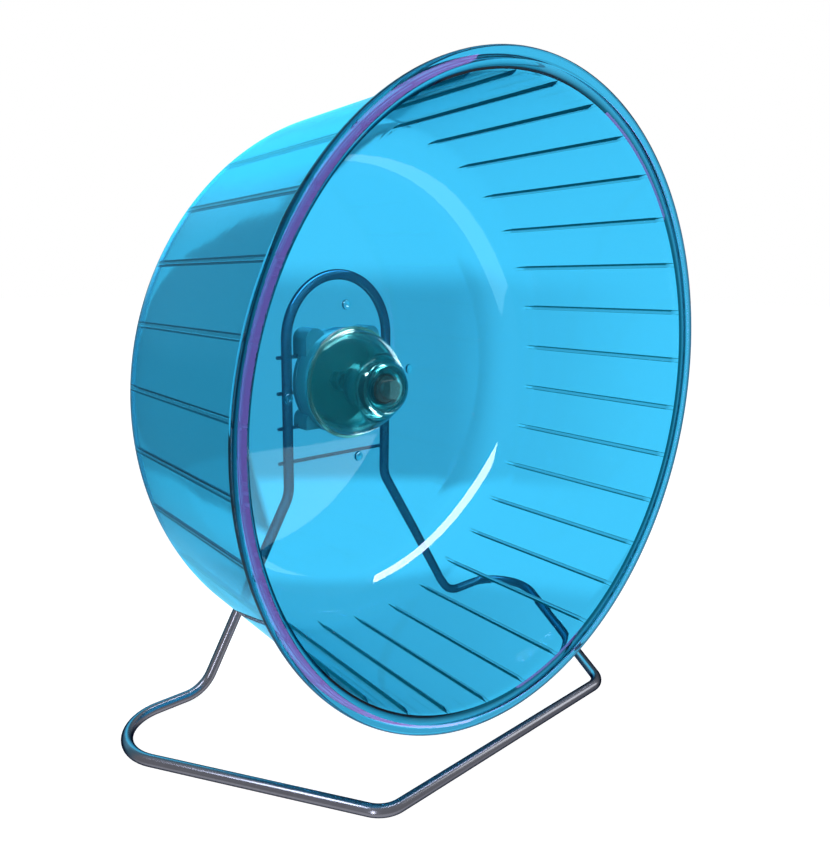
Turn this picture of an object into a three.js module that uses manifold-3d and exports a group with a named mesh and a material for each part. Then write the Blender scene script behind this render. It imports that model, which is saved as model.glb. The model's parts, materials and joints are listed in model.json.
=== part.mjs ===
// Hamster wheel on a bent wire stand.
// Millimetres, Z up. The axle runs along Y, the drum opens towards -Y,
// and the stand rests on Z = 0.

import * as THREE from 'three';
import * as BufferGeometryUtils from 'three/addons/utils/BufferGeometryUtils.js';
import Module from 'manifold-3d';

const wasm = await Module();
wasm.setup();

// Clearances shared by several pieces
const seatGap = 0.3;
const runGap = 0.3;
const cutOverrun = 2;

// Drum: rim, running surface, back wall
const rimRadius = 140;
const rimWidth = 7.6;
const rimThickness = 3.6;
const rimFrontRound = 1.4;
const rimBackRound = 1.2;
const rimCoveRadius = 3.8;
const lipDepth = 3.4;
const lipBevelWidth = 3.2;
const drumDepth = 118;
const drumTaper = 4.2;
const drumWall = 2.4;
const backFilletRadius = 26;

// Ribs on the running surface
const ribCount = 32;
const ribWidth = 2.2;
const ribHeight = 1.2;
const ribRoot = 1;

// Small moulded nubs on the back wall
const nubCount = 4;
const nubRingRadius = 42;
const nubRadius = 2.7;
const nubRise = 1.2;

// The wheel stands a little turned from its symmetric pose
const restTurn = THREE.MathUtils.degToRad(6);

// Bell-shaped hub that seats in a hole in the middle of the back wall
const bellRadius = 28.9;
const bellHeight = 27.8;
const bellShoulderHeight = 11;
const bellNoseRadius = 14.4;
const bellWall = 2.2;
const bellSteps = 7;
const bellFootWidth = 1.5;
const bellFootThickness = 1.2;
const bellSleeveInset = 0.5;

// Bearing boss inside the bell
const capSeatDepth = 2.6;
const noseWall = 1.6;
const webThickness = 2.2;
const bossLength = 11.6;
const bossWall = 2.3;

// Domed cap on the nose of the bell
const capHeight = 9.6;
const capCrownRadius = 8.6;
const capWall = 1.8;
const capSpigotWall = 1.6;

// Axle bolt, sleeve and bushes
const boltRadius = 3;
const boltHeadAcrossFlats = 10;
const boltHeadHeight = 4;
const boltTipLength = 1;
const boltTipChamfer = 0.6;
const sleeveWall = 0.7;
const bushWall = 2;
const bushFlangeThickness = 1.6;
const bushFlangeWidth = 2.1;
const bushMiddleGap = 1;
const washerRadius = 7;
const washerThickness = 1;

// Mount cone nested in the bell, and its skirt behind the drum
const nestGap = 1.3;
const coneWall = 1.8;
const coneWebThickness = 2.5;
const wellGap = 1.6;
const mountOverhang = 0.1;
const skirtLength = 8.9;
const drumBackGap = 1.5;

// Spacer tube and lock nut behind the cone
const spacerWall = 1.2;
const lockNutAcrossFlats = 10;
const lockNutThickness = 5;
const lockWasherRadius = 5.4;
const lockWasherThickness = 1.2;
const lockWasherSplit = 1.2;
const lockNutGap = 0.5;

// Mount plate with its lugs
const plateThickness = 2.6;
const upperLugRadius = 6.2;
const upperLugOffset = 19;
const upperLugRise = 9;
const lowerLugRadius = 5;
const lowerLugOffset = 20.5;
const lowerLugRise = 4.2;
const lugForwardReach = 5;
const hookLipThickness = 2;
const hookLipDepth = 1.6;

// Clamp plate, washer and wing nut behind the cross wires
const clampHalfWidth = 9;
const clampMargin = 4;
const clampCornerRadius = 4;
const clampThickness = 3;
const clampWasherRadius = 7.5;
const clampWasherThickness = 1.2;
const wingNutRadius = 6;
const wingNutNeckRadius = 5;
const wingNutThickness = 6;
const wingSpan = 15;
const wingLobeRadius = 4.2;
const wingRise = 6.8;
const wingRootInset = 1;
const wingThickness = 2.4;
const releaseTravel = 5;

// Stand: one closed loop of round wire
const wireRadius = 2.75;
const wireSides = 12;
const floorClearance = 17;
const legToMountGap = 2.5;
const archRise = 22.9;
const kneeDrop = 60;
const kneeBendRadius = 17;
const footHalfWidth = 91.5;
const footBendRadius = 17;
const footLean = 4.1;
const rearHalfWidth = 159.3;
const rearCornerRadius = 23;
const frontHalfWidth = 76.3;
const frontCornerRadius = 14;

// Four thin cross wires welded behind the legs
const crossWireRadius = 1;
const crossWireSides = 8;
const crossWireCount = 4;
const crossWirePitch = 19.1;
const crossWireOverhang = 1.2;
const crossWireBoltGap = 0.8;
const weldGap = 0.15;

// Places along the axle, counted from the rim's front face
const drumBackY = drumDepth + drumWall;
const noseY = drumDepth - bellHeight;
const bellFootRearY = drumDepth - seatGap;
const bellFootFrontY = bellFootRearY - bellFootThickness;
const webFrontY = noseY + capSeatDepth;
const webRearY = webFrontY + webThickness;
const bossRearY = webFrontY + bossLength;
const frontFlangeY = webFrontY - bushFlangeThickness;
const frontWasherY = frontFlangeY - runGap - washerThickness;
const boltHeadY = frontWasherY - boltHeadHeight;
const sleeveFrontY = frontWasherY + washerThickness;
const thrustWasherY = bossRearY + bushFlangeThickness + runGap;
const coneWebY = thrustWasherY + washerThickness;
const spacerY = coneWebY + coneWebThickness;
const skirtFrontY = drumBackY + drumBackGap;
const skirtRearY = skirtFrontY + skirtLength;
const plateFrontY = skirtRearY + seatGap;
const plateRearY = plateFrontY + plateThickness;
const lockNutY = plateFrontY - lockNutGap - lockNutThickness;
const lockWasherY = lockNutY - lockWasherThickness;
const crossWireY = plateRearY + seatGap + crossWireRadius;
const crossWireRearY = crossWireY + crossWireRadius;
const clampPlateY = crossWireRearY + seatGap;
const clampWasherY = clampPlateY + clampThickness;
const wingNutY = clampWasherY + clampWasherThickness;
const boltTipY = wingNutY + wingNutThickness + releaseTravel + boltTipLength;

// Places across the axle
const runFrontRadius = rimRadius - rimWidth;
const runRearRadius = runFrontRadius - drumTaper;
const capSeatRadius = bellNoseRadius - noseWall;
const boltBoreRadius = boltRadius + seatGap;
const sleeveRadius = boltBoreRadius + sleeveWall;
const spacerRadius = boltBoreRadius + spacerWall;
const bushBoreRadius = sleeveRadius + runGap;
const bushRadius = bushBoreRadius + bushWall;
const bushFlangeRadius = bushRadius + bushFlangeWidth;
const bossBoreRadius = bushRadius + seatGap;
const bossRadius = bossBoreRadius + bossWall;
const wellRadius = bossRadius + wellGap;
const bellFootRadius = bellRadius + bellFootWidth;
const bellSleeveRadius = bellRadius - bellSleeveInset;
const bellHoleRadius = bellSleeveRadius + seatGap;
const mountRadius = bellRadius + mountOverhang;
const secondWireZ = -(boltRadius + crossWireBoltGap + crossWireRadius);
const firstWireZ = secondWireZ + crossWirePitch;
const thirdWireZ = secondWireZ - crossWirePitch;

// Places of the stand, whose front bar lies under the rim's front face;
// flatShare is how far a facet of the wire lies from its centre
const flatShare = Math.cos(Math.PI / wireSides);
const wireFlat = wireRadius * flatShare;
const axleHeight = rimRadius + floorClearance;
const legHalfWidth = mountRadius + legToMountGap + wireRadius;
const legY = crossWireY - crossWireRadius - weldGap - wireRadius;
const footY = legY - footLean;
const frontBarY = 0;
const floorWireZ = wireFlat - axleHeight;
const archTopZ = archRise + legHalfWidth;

// The origin lies on the floor under the middle of the whole object
const frontY = frontBarY - wireFlat;
const originY = (frontY + boltTipY) / 2;

// Materials
function material(color, roughness, metalness, opacity = 1) {
  return new THREE.MeshStandardMaterial({
    color, roughness, metalness, opacity, transparent: opacity < 1,
  });
}
const bluePlastic = () => material(0x30b8f0, 0.08, 0, 0.45);
const smokePlastic = () => material(0x2a6f76, 0.15, 0, 0.7);
const greyNylon = () => material(0x3c4446, 0.45, 0);
const steel = () => material(0x9aa3aa, 0.3, 1);
const zinc = () => material(0xb4b8ba, 0.35, 1);

// Solids: a closed triangle mesh for the boolean library and back
function toSolid(geometry) {
  const bare = geometry.index ? geometry : geometry.clone();
  bare.deleteAttribute('normal');
  bare.deleteAttribute('uv');
  const merged = BufferGeometryUtils.mergeVertices(bare);
  const index = merged.index.array;
  const triangles = [];
  for (let i = 0; i < index.length; i += 3) {
    const [a, b, c] = [index[i], index[i + 1], index[i + 2]];
    if (a !== b && b !== c && c !== a) triangles.push(a, b, c);
  }
  return new wasm.Manifold(new wasm.Mesh({
    numProp: 3,
    vertProperties: new Float32Array(merged.attributes.position.array),
    triVerts: new Uint32Array(triangles),
  }));
}

function toGeometry(solid) {
  const mesh = solid.getMesh();
  const geometry = new THREE.BufferGeometry();
  geometry.setAttribute('position', new THREE.BufferAttribute(new Float32Array(mesh.vertProperties), 3));
  geometry.setIndex(new THREE.BufferAttribute(new Uint32Array(mesh.triVerts), 1));
  geometry.computeVertexNormals();
  return geometry;
}

function named(name, solid, look) {
  const mesh = new THREE.Mesh(toGeometry(solid), look);
  mesh.name = name;
  return mesh;
}

// Outlines: corners are [radius, y, fillet], and a fillet becomes an arc
function filletArc(before, corner, after, radius, steps) {
  const towards = before.clone().sub(corner).normalize();
  const onwards = after.clone().sub(corner).normalize();
  const half = Math.acos(THREE.MathUtils.clamp(towards.dot(onwards), -1, 1)) / 2;
  const middle = towards.clone().add(onwards).normalize();
  const centre = middle.multiplyScalar(radius / Math.sin(half)).add(corner);
  const start = corner.clone().addScaledVector(towards, radius / Math.tan(half)).sub(centre);
  const end = corner.clone().addScaledVector(onwards, radius / Math.tan(half)).sub(centre);
  const sweep = Math.PI - 2 * half;
  const points = [];
  for (let i = 0; i <= steps; i++) {
    const turn = sweep * i / steps;
    const point = start.clone().multiplyScalar(Math.sin(sweep - turn) / Math.sin(sweep));
    points.push(point.addScaledVector(end, Math.sin(turn) / Math.sin(sweep)).add(centre));
  }
  return points;
}

function outline(corners, steps = 4) {
  const places = corners.map(([x, y]) => new THREE.Vector2(x, y));
  return corners.flatMap(([, , fillet = 0, own = steps], i) => {
    if (fillet === 0) return [places[i]];
    const before = places.at(i - 1);
    const after = places[(i + 1) % places.length];
    return filletArc(before, places[i], after, fillet, own);
  });
}

// Solid of revolution about the axle, from a closed outline of (radius, y) points
function revolve(points, segments) {
  const area = THREE.ShapeUtils.area(points);
  const ring = area > 0 ? [...points] : [...points].reverse();
  ring.push(ring[0].clone());
  return toSolid(new THREE.LatheGeometry(ring, segments));
}

function ringSolid(inner, outer, fromY, toY, segments = 24) {
  return revolve(outline([[inner, fromY], [outer, fromY], [outer, toY], [inner, toY]]), segments);
}

// Prism along the axle, from an outline of (x, z) points
function prism(shape, fromY, toY, curveSegments = 8) {
  const depth = toY - fromY;
  const geometry = new THREE.ExtrudeGeometry(shape, { depth, bevelEnabled: false, curveSegments });
  geometry.rotateX(Math.PI / 2);
  geometry.translate(0, toY, 0);
  return toSolid(geometry);
}

function hexShape(acrossFlats) {
  const corner = acrossFlats / 2 / Math.cos(Math.PI / 6);
  const points = [];
  for (let i = 0; i < 6; i++) {
    const angle = i * Math.PI / 3;
    points.push(new THREE.Vector2(corner * Math.cos(angle), corner * Math.sin(angle)));
  }
  return new THREE.Shape(points);
}

function discShape(radius, x = 0, z = 0) {
  const shape = new THREE.Shape();
  shape.absarc(x, z, radius, 0, 2 * Math.PI);
  return shape;
}

function boxSolid(x0, x1, y0, y1, z0, z1) {
  const box = new THREE.BoxGeometry(x1 - x0, y1 - y0, z1 - z0);
  box.translate((x0 + x1) / 2, (y0 + y1) / 2, (z0 + z1) / 2);
  return toSolid(box);
}

function turned(solid, angle) {
  return solid.rotate([0, THREE.MathUtils.radToDeg(angle), 0]);
}

// The bell's outer curve from its foot to its nose, and the same curve moved inwards
function bellCurve() {
  return new THREE.QuadraticBezierCurve(
    new THREE.Vector2(bellRadius, drumDepth),
    new THREE.Vector2(bellRadius, drumDepth - bellShoulderHeight),
    new THREE.Vector2(bellNoseRadius, noseY),
  );
}

function bellOffset(distance) {
  const curve = bellCurve();
  const points = [];
  for (let i = 0; i <= bellSteps; i++) {
    const tangent = curve.getTangent(i / bellSteps);
    const inward = new THREE.Vector2(tangent.y, -tangent.x);
    points.push(curve.getPoint(i / bellSteps).addScaledVector(inward, distance));
  }
  return points;
}

// Keeps the part of a rearward-to-forward curve that lies behind a plane
function behind(points, planeY) {
  const kept = points.filter((p) => p.y > planeY);
  const next = points[kept.length];
  const last = kept.at(-1);
  if (next) kept.push(last.clone().lerp(next, (last.y - planeY) / (last.y - next.y)));
  return kept;
}

// Drum
function runRadiusAt(y) {
  const share = (y - lipDepth) / (drumDepth - lipDepth);
  return THREE.MathUtils.lerp(runFrontRadius, runRearRadius, share);
}

function drumOutline() {
  const outside = (y) => runRadiusAt(y) + drumWall;
  return outline([
    [bellHoleRadius, drumDepth],
    [runRadiusAt(drumDepth), drumDepth, backFilletRadius, 6],
    [runFrontRadius, lipDepth],
    [runFrontRadius + lipBevelWidth, 0],
    [rimRadius, 0, rimFrontRound, 2],
    [rimRadius, rimThickness, rimBackRound, 2],
    [outside(rimThickness), rimThickness, rimCoveRadius, 3],
    [outside(drumBackY), drumBackY, backFilletRadius + drumWall, 6],
    [bellHoleRadius, drumBackY],
  ]);
}

// Each rib runs into the rear fillet, which swallows it at its own height
function ribSolid() {
  const filletReach = Math.sqrt(2 * backFilletRadius * ribHeight - ribHeight * ribHeight);
  const rearY = drumDepth - backFilletRadius + filletReach;
  const front = runRadiusAt(lipDepth);
  const rear = runRadiusAt(rearY);
  const shape = new THREE.Shape([
    new THREE.Vector2(front - ribHeight, lipDepth),
    new THREE.Vector2(front + ribRoot, lipDepth),
    new THREE.Vector2(rear + ribRoot, rearY - filletReach),
    new THREE.Vector2(rear - ribHeight, rearY),
  ]);
  const rib = new THREE.ExtrudeGeometry(shape, { depth: ribWidth, bevelEnabled: false });
  rib.translate(0, 0, -ribWidth / 2);
  return toSolid(rib);
}

function nubSolid() {
  const ball = new THREE.SphereGeometry(nubRadius, 12, 6);
  ball.scale(1, nubRise / nubRadius, 1);
  ball.translate(nubRingRadius, drumDepth, 0);
  return toSolid(ball);
}

function aroundAxle(solid, count) {
  const copies = [];
  for (let i = 0; i < count; i++) copies.push(turned(solid, i * 2 * Math.PI / count));
  return copies;
}

function drum() {
  const facets = 2 * ribCount;
  const shell = turned(revolve(drumOutline(), facets), Math.PI / facets);
  const details = [...aroundAxle(ribSolid(), ribCount), ...aroundAxle(nubSolid(), nubCount)];
  const solid = details.reduce((whole, detail) => whole.add(detail), shell);
  return named('drum', turned(solid, -restTurn), bluePlastic());
}

// Bell: its foot sits on the back wall, a sleeve reaches through the wall's hole,
// and a web inside carries the boss for the bushes
function bellOutline() {
  const inner = bellOffset(bellWall);
  return [
    ...outline([
      [bossBoreRadius, webFrontY],
      [capSeatRadius, webFrontY],
      [capSeatRadius, noseY],
    ]),
    ...bellOffset(0).slice(1).reverse(),
    ...outline([
      [bellRadius, bellFootFrontY],
      [bellFootRadius, bellFootFrontY],
      [bellFootRadius, bellFootRearY],
      [bellSleeveRadius, bellFootRearY],
      [bellSleeveRadius, drumBackY],
      [inner[0].x, drumBackY],
    ]),
    ...behind(inner, webRearY),
    ...outline([
      [bossRadius, webRearY],
      [bossRadius, bossRearY],
      [bossBoreRadius, bossRearY],
    ]),
  ];
}

function hubBell() {
  return named('hub_bell', turned(revolve(bellOutline(), 48), -restTurn), smokePlastic());
}

// Cap: a dome with a spigot that sits in the nose of the bell
function domeCurve(footRadius, footY, crownRadius, tipY) {
  return new THREE.QuadraticBezierCurve(
    new THREE.Vector2(footRadius, footY),
    new THREE.Vector2(crownRadius, tipY),
    new THREE.Vector2(0, tipY),
  ).getPoints(6);
}

function hubCap() {
  const seatY = noseY - seatGap;
  const tipY = noseY - capHeight;
  const spigotRadius = capSeatRadius - seatGap;
  const spigotInner = spigotRadius - capSpigotWall;
  const shell = revolve([
    ...domeCurve(bellNoseRadius, seatY, capCrownRadius, tipY),
    ...domeCurve(spigotInner, seatY, capCrownRadius - capWall, tipY + capWall).reverse(),
    ...outline([
      [spigotInner, webFrontY - seatGap],
      [spigotRadius, webFrontY - seatGap],
      [spigotRadius, seatY],
    ]),
  ], 32);
  return named('hub_cap', shell, smokePlastic());
}

// Bushes pressed into the boss from both ends
function bush(name, flangeY, seatY, endY) {
  const sleeve = (radius, oneY, otherY) => (
    ringSolid(bushBoreRadius, radius, Math.min(oneY, otherY), Math.max(oneY, otherY))
  );
  const flange = sleeve(bushFlangeRadius, flangeY, seatY);
  return named(name, flange.add(sleeve(bushRadius, seatY, endY)), greyNylon());
}

function bushes() {
  const middle = (webFrontY + bossRearY) / 2;
  return [
    bush('front_bush', frontFlangeY, webFrontY, middle - bushMiddleGap / 2),
    bush('rear_bush', bossRearY + bushFlangeThickness, bossRearY, middle + bushMiddleGap / 2),
  ];
}

// Axle hardware
function axleBolt() {
  const head = prism(hexShape(boltHeadAcrossFlats), boltHeadY, frontWasherY);
  const shank = revolve(outline([
    [0, boltHeadY + boltHeadHeight / 2],
    [boltRadius, boltHeadY + boltHeadHeight / 2],
    [boltRadius, boltTipY - boltTipChamfer],
    [boltRadius - boltTipChamfer, boltTipY],
    [0, boltTipY],
  ]), 24);
  return named('axle_bolt', head.add(shank), steel());
}

function plainRing(name, outer, fromY, toY, look) {
  return named(name, ringSolid(boltBoreRadius, outer, fromY, toY), look);
}

function lockWasher() {
  const ring = ringSolid(boltBoreRadius, lockWasherRadius, lockWasherY, lockNutY);
  const cut = boxSolid(
    0, lockWasherRadius + cutOverrun,
    lockWasherY - cutOverrun, lockNutY + cutOverrun,
    -lockWasherSplit / 2, lockWasherSplit / 2,
  );
  return named('lock_washer', ring.subtract(cut), zinc());
}

function lockNut() {
  const body = prism(hexShape(lockNutAcrossFlats), lockNutY, lockNutY + lockNutThickness);
  const bore = prism(discShape(boltBoreRadius), lockNutY - cutOverrun, plateFrontY + cutOverrun);
  return named('lock_nut', body.subtract(bore), zinc());
}

// Mount cone: a cone nested in the bell, a well round the boss, a flange and a skirt
function mountCone() {
  const frontY = webRearY + nestGap;
  const outer = behind(bellOffset(bellWall + nestGap), frontY);
  const inner = behind(bellOffset(bellWall + nestGap + coneWall), frontY + coneWall);
  const wellOuter = wellRadius + coneWall;
  const clearOfWell = inner.filter((p) => p.x > wellOuter);
  const points = [
    ...outline([
      [mountRadius - coneWall, skirtRearY],
      [mountRadius, skirtRearY],
      [mountRadius, skirtFrontY],
      [outer[0].x, skirtFrontY],
    ]),
    ...outer,
    ...outline([
      [wellRadius, frontY],
      [wellRadius, coneWebY],
      [boltBoreRadius, coneWebY],
      [boltBoreRadius, spacerY],
      [wellOuter, spacerY],
      [wellOuter, clearOfWell.at(-1).y],
    ]),
    ...clearOfWell.reverse(),
    ...outline([
      [outer[0].x - coneWall, skirtFrontY + coneWall],
      [mountRadius - coneWall, skirtFrontY + coneWall],
    ]),
  ];
  return named('mount_cone', revolve(points, 36), smokePlastic());
}

// Mount plate: a disc that closes the skirt, with four lugs that sit over the cross wires
function lugSolid(x, z, radius, footZ) {
  const shape = new THREE.Shape();
  shape.moveTo(x - radius, footZ);
  shape.lineTo(x + radius, footZ);
  shape.lineTo(x + radius, z);
  shape.absarc(x, z, radius, 0, Math.PI);
  return prism(shape, plateFrontY - lugForwardReach, crossWireRearY + seatGap + hookLipThickness);
}

function wireSlot(z) {
  const half = crossWireRadius + seatGap;
  const reach = mountRadius + cutOverrun;
  return boxSolid(-reach, reach, plateRearY, crossWireY + half, z - reach, z + half);
}

function lugPair(offset, radius, wireZ, rise) {
  const footZ = wireZ + crossWireRadius - hookLipDepth;
  const left = lugSolid(-offset, wireZ + rise, radius, footZ);
  const right = lugSolid(offset, wireZ + rise, radius, footZ);
  return left.add(right).subtract(wireSlot(wireZ));
}

function mountPlate() {
  const lugFrontY = plateFrontY - lugForwardReach;
  const skirtClear = ringSolid(0, mountRadius + seatGap, lugFrontY - cutOverrun, plateFrontY, 36);
  const disc = prism(discShape(mountRadius), plateFrontY, plateRearY, 18);
  const bore = prism(discShape(boltBoreRadius), plateFrontY - cutOverrun, plateRearY + cutOverrun);
  const solid = lugPair(upperLugOffset, upperLugRadius, firstWireZ, upperLugRise)
    .add(lugPair(lowerLugOffset, lowerLugRadius, thirdWireZ, lowerLugRise))
    .subtract(skirtClear)
    .add(disc)
    .subtract(bore);
  return named('mount_plate', solid, smokePlastic());
}

// Clamp plate: a rounded bar across three cross wires
function clampPlate() {
  const top = firstWireZ + clampMargin;
  const bottom = thirdWireZ - clampMargin;
  const r = clampCornerRadius;
  const shape = new THREE.Shape();
  shape.absarc(clampHalfWidth - r, top - r, r, 0, Math.PI / 2);
  shape.absarc(r - clampHalfWidth, top - r, r, Math.PI / 2, Math.PI);
  shape.absarc(r - clampHalfWidth, bottom + r, r, Math.PI, 3 * Math.PI / 2);
  shape.absarc(clampHalfWidth - r, bottom + r, r, 3 * Math.PI / 2, 2 * Math.PI);
  const bore = prism(discShape(boltBoreRadius), clampPlateY - cutOverrun, clampWasherY + cutOverrun);
  return named('clamp_plate', prism(shape, clampPlateY, clampWasherY).subtract(bore), greyNylon());
}

// Wing nut: a tapered hub with two rounded wings
function wingSolid() {
  const rootX = wingNutNeckRadius * Math.SQRT1_2;
  const shape = new THREE.Shape();
  shape.moveTo(rootX, wingNutY + wingRootInset);
  const lobeX = wingSpan - wingLobeRadius;
  shape.absarc(lobeX, wingNutY + wingRise, wingLobeRadius, -Math.PI / 3, 3 * Math.PI / 4);
  shape.lineTo(rootX, wingNutY + wingNutThickness - wingRootInset);
  const settings = { depth: wingThickness, bevelEnabled: false, curveSegments: 8 };
  const wing = new THREE.ExtrudeGeometry(shape, settings);
  wing.translate(0, 0, -wingThickness / 2);
  return toSolid(wing);
}

function wingNut() {
  const hub = revolve(outline([
    [0, wingNutY],
    [wingNutRadius, wingNutY],
    [wingNutNeckRadius, wingNutY + wingNutThickness],
    [0, wingNutY + wingNutThickness],
  ]), 24);
  const bore = prism(discShape(boltBoreRadius), wingNutY - cutOverrun, boltTipY + cutOverrun);
  const wing = wingSolid();
  return named('wing_nut', hub.add(wing).add(turned(wing, Math.PI)).subtract(bore), zinc());
}

// Stand wire: a closed loop with rounded bends, swept by a many-sided section
function standCorners() {
  const half = [
    [legHalfWidth, legY, archTopZ, legHalfWidth, 12],
    [legHalfWidth, legY, -kneeDrop, kneeBendRadius, 4],
    [footHalfWidth, footY, floorWireZ, footBendRadius, 5],
    [rearHalfWidth, footY, floorWireZ, rearCornerRadius, 9],
    [frontHalfWidth, frontBarY, floorWireZ, frontCornerRadius, 6],
  ];
  const left = half.map(([x, ...rest]) => [-x, ...rest]);
  return [...left, ...half.reverse()].map(([x, y, z, radius, steps]) => (
    { place: new THREE.Vector3(x, y, z), radius, steps }
  ));
}

function standPath() {
  const corners = standCorners();
  const points = corners.flatMap(({ place, radius, steps }, i) => {
    const before = corners.at(i - 1).place;
    const after = corners[(i + 1) % corners.length].place;
    return filletArc(before, place, after, radius, steps);
  });
  return points.filter((p, i) => p.distanceTo(points.at(i - 1)) > seatGap);
}

// Section axes: the first keeps to Y up the legs, the second keeps to Z on the floor
function sectionAxes(point, tangent) {
  const onFloor = point.z < floorWireZ + seatGap;
  const down = new THREE.Vector3(0, 0, -1);
  if (onFloor) return [down.clone().cross(tangent).normalize(), down];
  const across = new THREE.Vector3(0, 1, 0);
  across.addScaledVector(tangent, -across.dot(tangent)).normalize();
  return [across, tangent.clone().cross(across)];
}

function loopSweep(points, radius, sides) {
  const vertices = [];
  const index = [];
  points.forEach((point, i) => {
    const back = point.clone().sub(points.at(i - 1)).normalize();
    const forth = points[(i + 1) % points.length].clone().sub(point).normalize();
    const tangent = back.clone().add(forth).normalize();
    const [first, second] = sectionAxes(point, tangent);
    for (let k = 0; k < sides; k++) {
      const angle = (k + 1 / 2) * 2 * Math.PI / sides;
      const rim = point.clone()
        .addScaledVector(first, radius * Math.cos(angle))
        .addScaledVector(second, radius * Math.sin(angle));
      vertices.push(rim.x, rim.y, rim.z);
      const a = i * sides + k;
      const b = i * sides + (k + 1) % sides;
      const c = ((i + 1) % points.length) * sides + k;
      const d = ((i + 1) % points.length) * sides + (k + 1) % sides;
      index.push(a, b, c, b, d, c);
    }
  });
  const geometry = new THREE.BufferGeometry();
  geometry.setAttribute('position', new THREE.Float32BufferAttribute(vertices, 3));
  geometry.setIndex(index);
  return geometry;
}

function standWire() {
  return named('stand_wire', toSolid(loopSweep(standPath(), wireRadius, wireSides)), steel());
}

// Cross wires: facets turned so that flats face the legs and the plates
function crossWire(number) {
  const length = 2 * (legHalfWidth + wireRadius + crossWireOverhang);
  const flatRadius = crossWireRadius / Math.cos(Math.PI / crossWireSides);
  const rod = new THREE.CylinderGeometry(flatRadius, flatRadius, length, crossWireSides);
  rod.rotateY(Math.PI / crossWireSides);
  rod.rotateZ(Math.PI / 2);
  const mesh = named(`cross_wire_${number}`, toSolid(rod), steel());
  mesh.position.set(0, crossWireY, firstWireZ - (number - 1) * crossWirePitch);
  return mesh;
}

// Assembly
function axleHardware() {
  return [
    axleBolt(),
    plainRing('front_washer', washerRadius, frontWasherY, sleeveFrontY, zinc()),
    plainRing('bearing_sleeve', sleeveRadius, sleeveFrontY, thrustWasherY, steel()),
    plainRing('thrust_washer', washerRadius, thrustWasherY, coneWebY, zinc()),
    plainRing('spacer_tube', spacerRadius, spacerY, lockWasherY, steel()),
    lockWasher(),
    lockNut(),
  ];
}

function clampHardware() {
  return [
    clampPlate(),
    plainRing('clamp_washer', clampWasherRadius, clampWasherY, wingNutY, zinc()),
    wingNut(),
  ];
}

const hamsterWheel = new THREE.Group();
hamsterWheel.position.set(0, -originY, axleHeight);
hamsterWheel.add(drum(), hubBell(), hubCap(), ...bushes());
hamsterWheel.add(...axleHardware());
hamsterWheel.add(mountCone(), mountPlate(), ...clampHardware());
hamsterWheel.add(standWire());
for (let number = 1; number <= crossWireCount; number++) hamsterWheel.add(crossWire(number));

export default hamsterWheel;
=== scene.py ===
# %% [markdown]
# A clear blue hamster wheel on a bent wire stand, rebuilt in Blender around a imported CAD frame.
# The frame holds the true sizes: it gives the axle, the drum's front and the wires' places, so every
# finer piece here is measured from it, and the two models stay one object.

# %% Load the frame
import json
import math

import bmesh
import bpy
from mathutils import Matrix, Vector


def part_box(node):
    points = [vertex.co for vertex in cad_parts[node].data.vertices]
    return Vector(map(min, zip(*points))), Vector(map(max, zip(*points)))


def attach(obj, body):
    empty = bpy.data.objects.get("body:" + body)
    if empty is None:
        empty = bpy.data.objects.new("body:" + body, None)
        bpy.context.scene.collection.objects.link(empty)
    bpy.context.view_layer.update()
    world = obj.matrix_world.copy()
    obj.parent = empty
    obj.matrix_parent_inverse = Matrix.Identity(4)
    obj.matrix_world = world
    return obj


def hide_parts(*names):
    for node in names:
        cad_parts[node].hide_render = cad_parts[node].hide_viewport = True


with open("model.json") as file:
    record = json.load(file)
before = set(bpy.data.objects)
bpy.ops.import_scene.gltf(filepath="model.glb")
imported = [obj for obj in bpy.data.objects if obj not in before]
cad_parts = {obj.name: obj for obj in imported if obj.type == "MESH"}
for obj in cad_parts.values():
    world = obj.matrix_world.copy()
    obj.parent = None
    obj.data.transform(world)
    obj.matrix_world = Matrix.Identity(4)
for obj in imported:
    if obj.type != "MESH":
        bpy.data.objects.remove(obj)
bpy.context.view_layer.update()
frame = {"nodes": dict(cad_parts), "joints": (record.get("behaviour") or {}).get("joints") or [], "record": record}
MM = 0.001

# %% [markdown]
# The axle runs along Y, and the drum is symmetric around it. Pieces of the wheel are drawn as a
# radius and a depth behind the rim's front face, so the two anchors are the axle's point and
# that face. Everything else follows from them.

# %% Anchors on the axle
axle = Vector(next(j for j in frame["joints"] if j["name"] == "wheel_spin")["pos_m"])
rim_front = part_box("drum")[0].y
print("axle height", round(axle.z / MM, 1), "mm, rim front at", round(rim_front / MM, 1), "mm")


def place(radius, depth, angle):
    """A point at a radius round the axle, a depth behind the rim's face and an angle, all in mm."""
    return Vector((
        axle.x + radius * MM * math.cos(angle),
        rim_front + depth * MM,
        axle.z + radius * MM * math.sin(angle),
    ))


def depth_of(node, side):
    """Depth in mm of a CAD node's front (side 0) or rear (side 1)."""
    return (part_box(node)[side].y - rim_front) / MM


# %% [markdown]
# Meshes come from rings of points. A lathe turns an outline round the axle, and a sweep carries
# a round section along a path. Both are plain point lists, which keeps the quads even and the
# shading smooth, and a seam never shows because each ring closes on its own first point.

# %% Mesh helpers
MERGE_DISTANCE = 0.002


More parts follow.
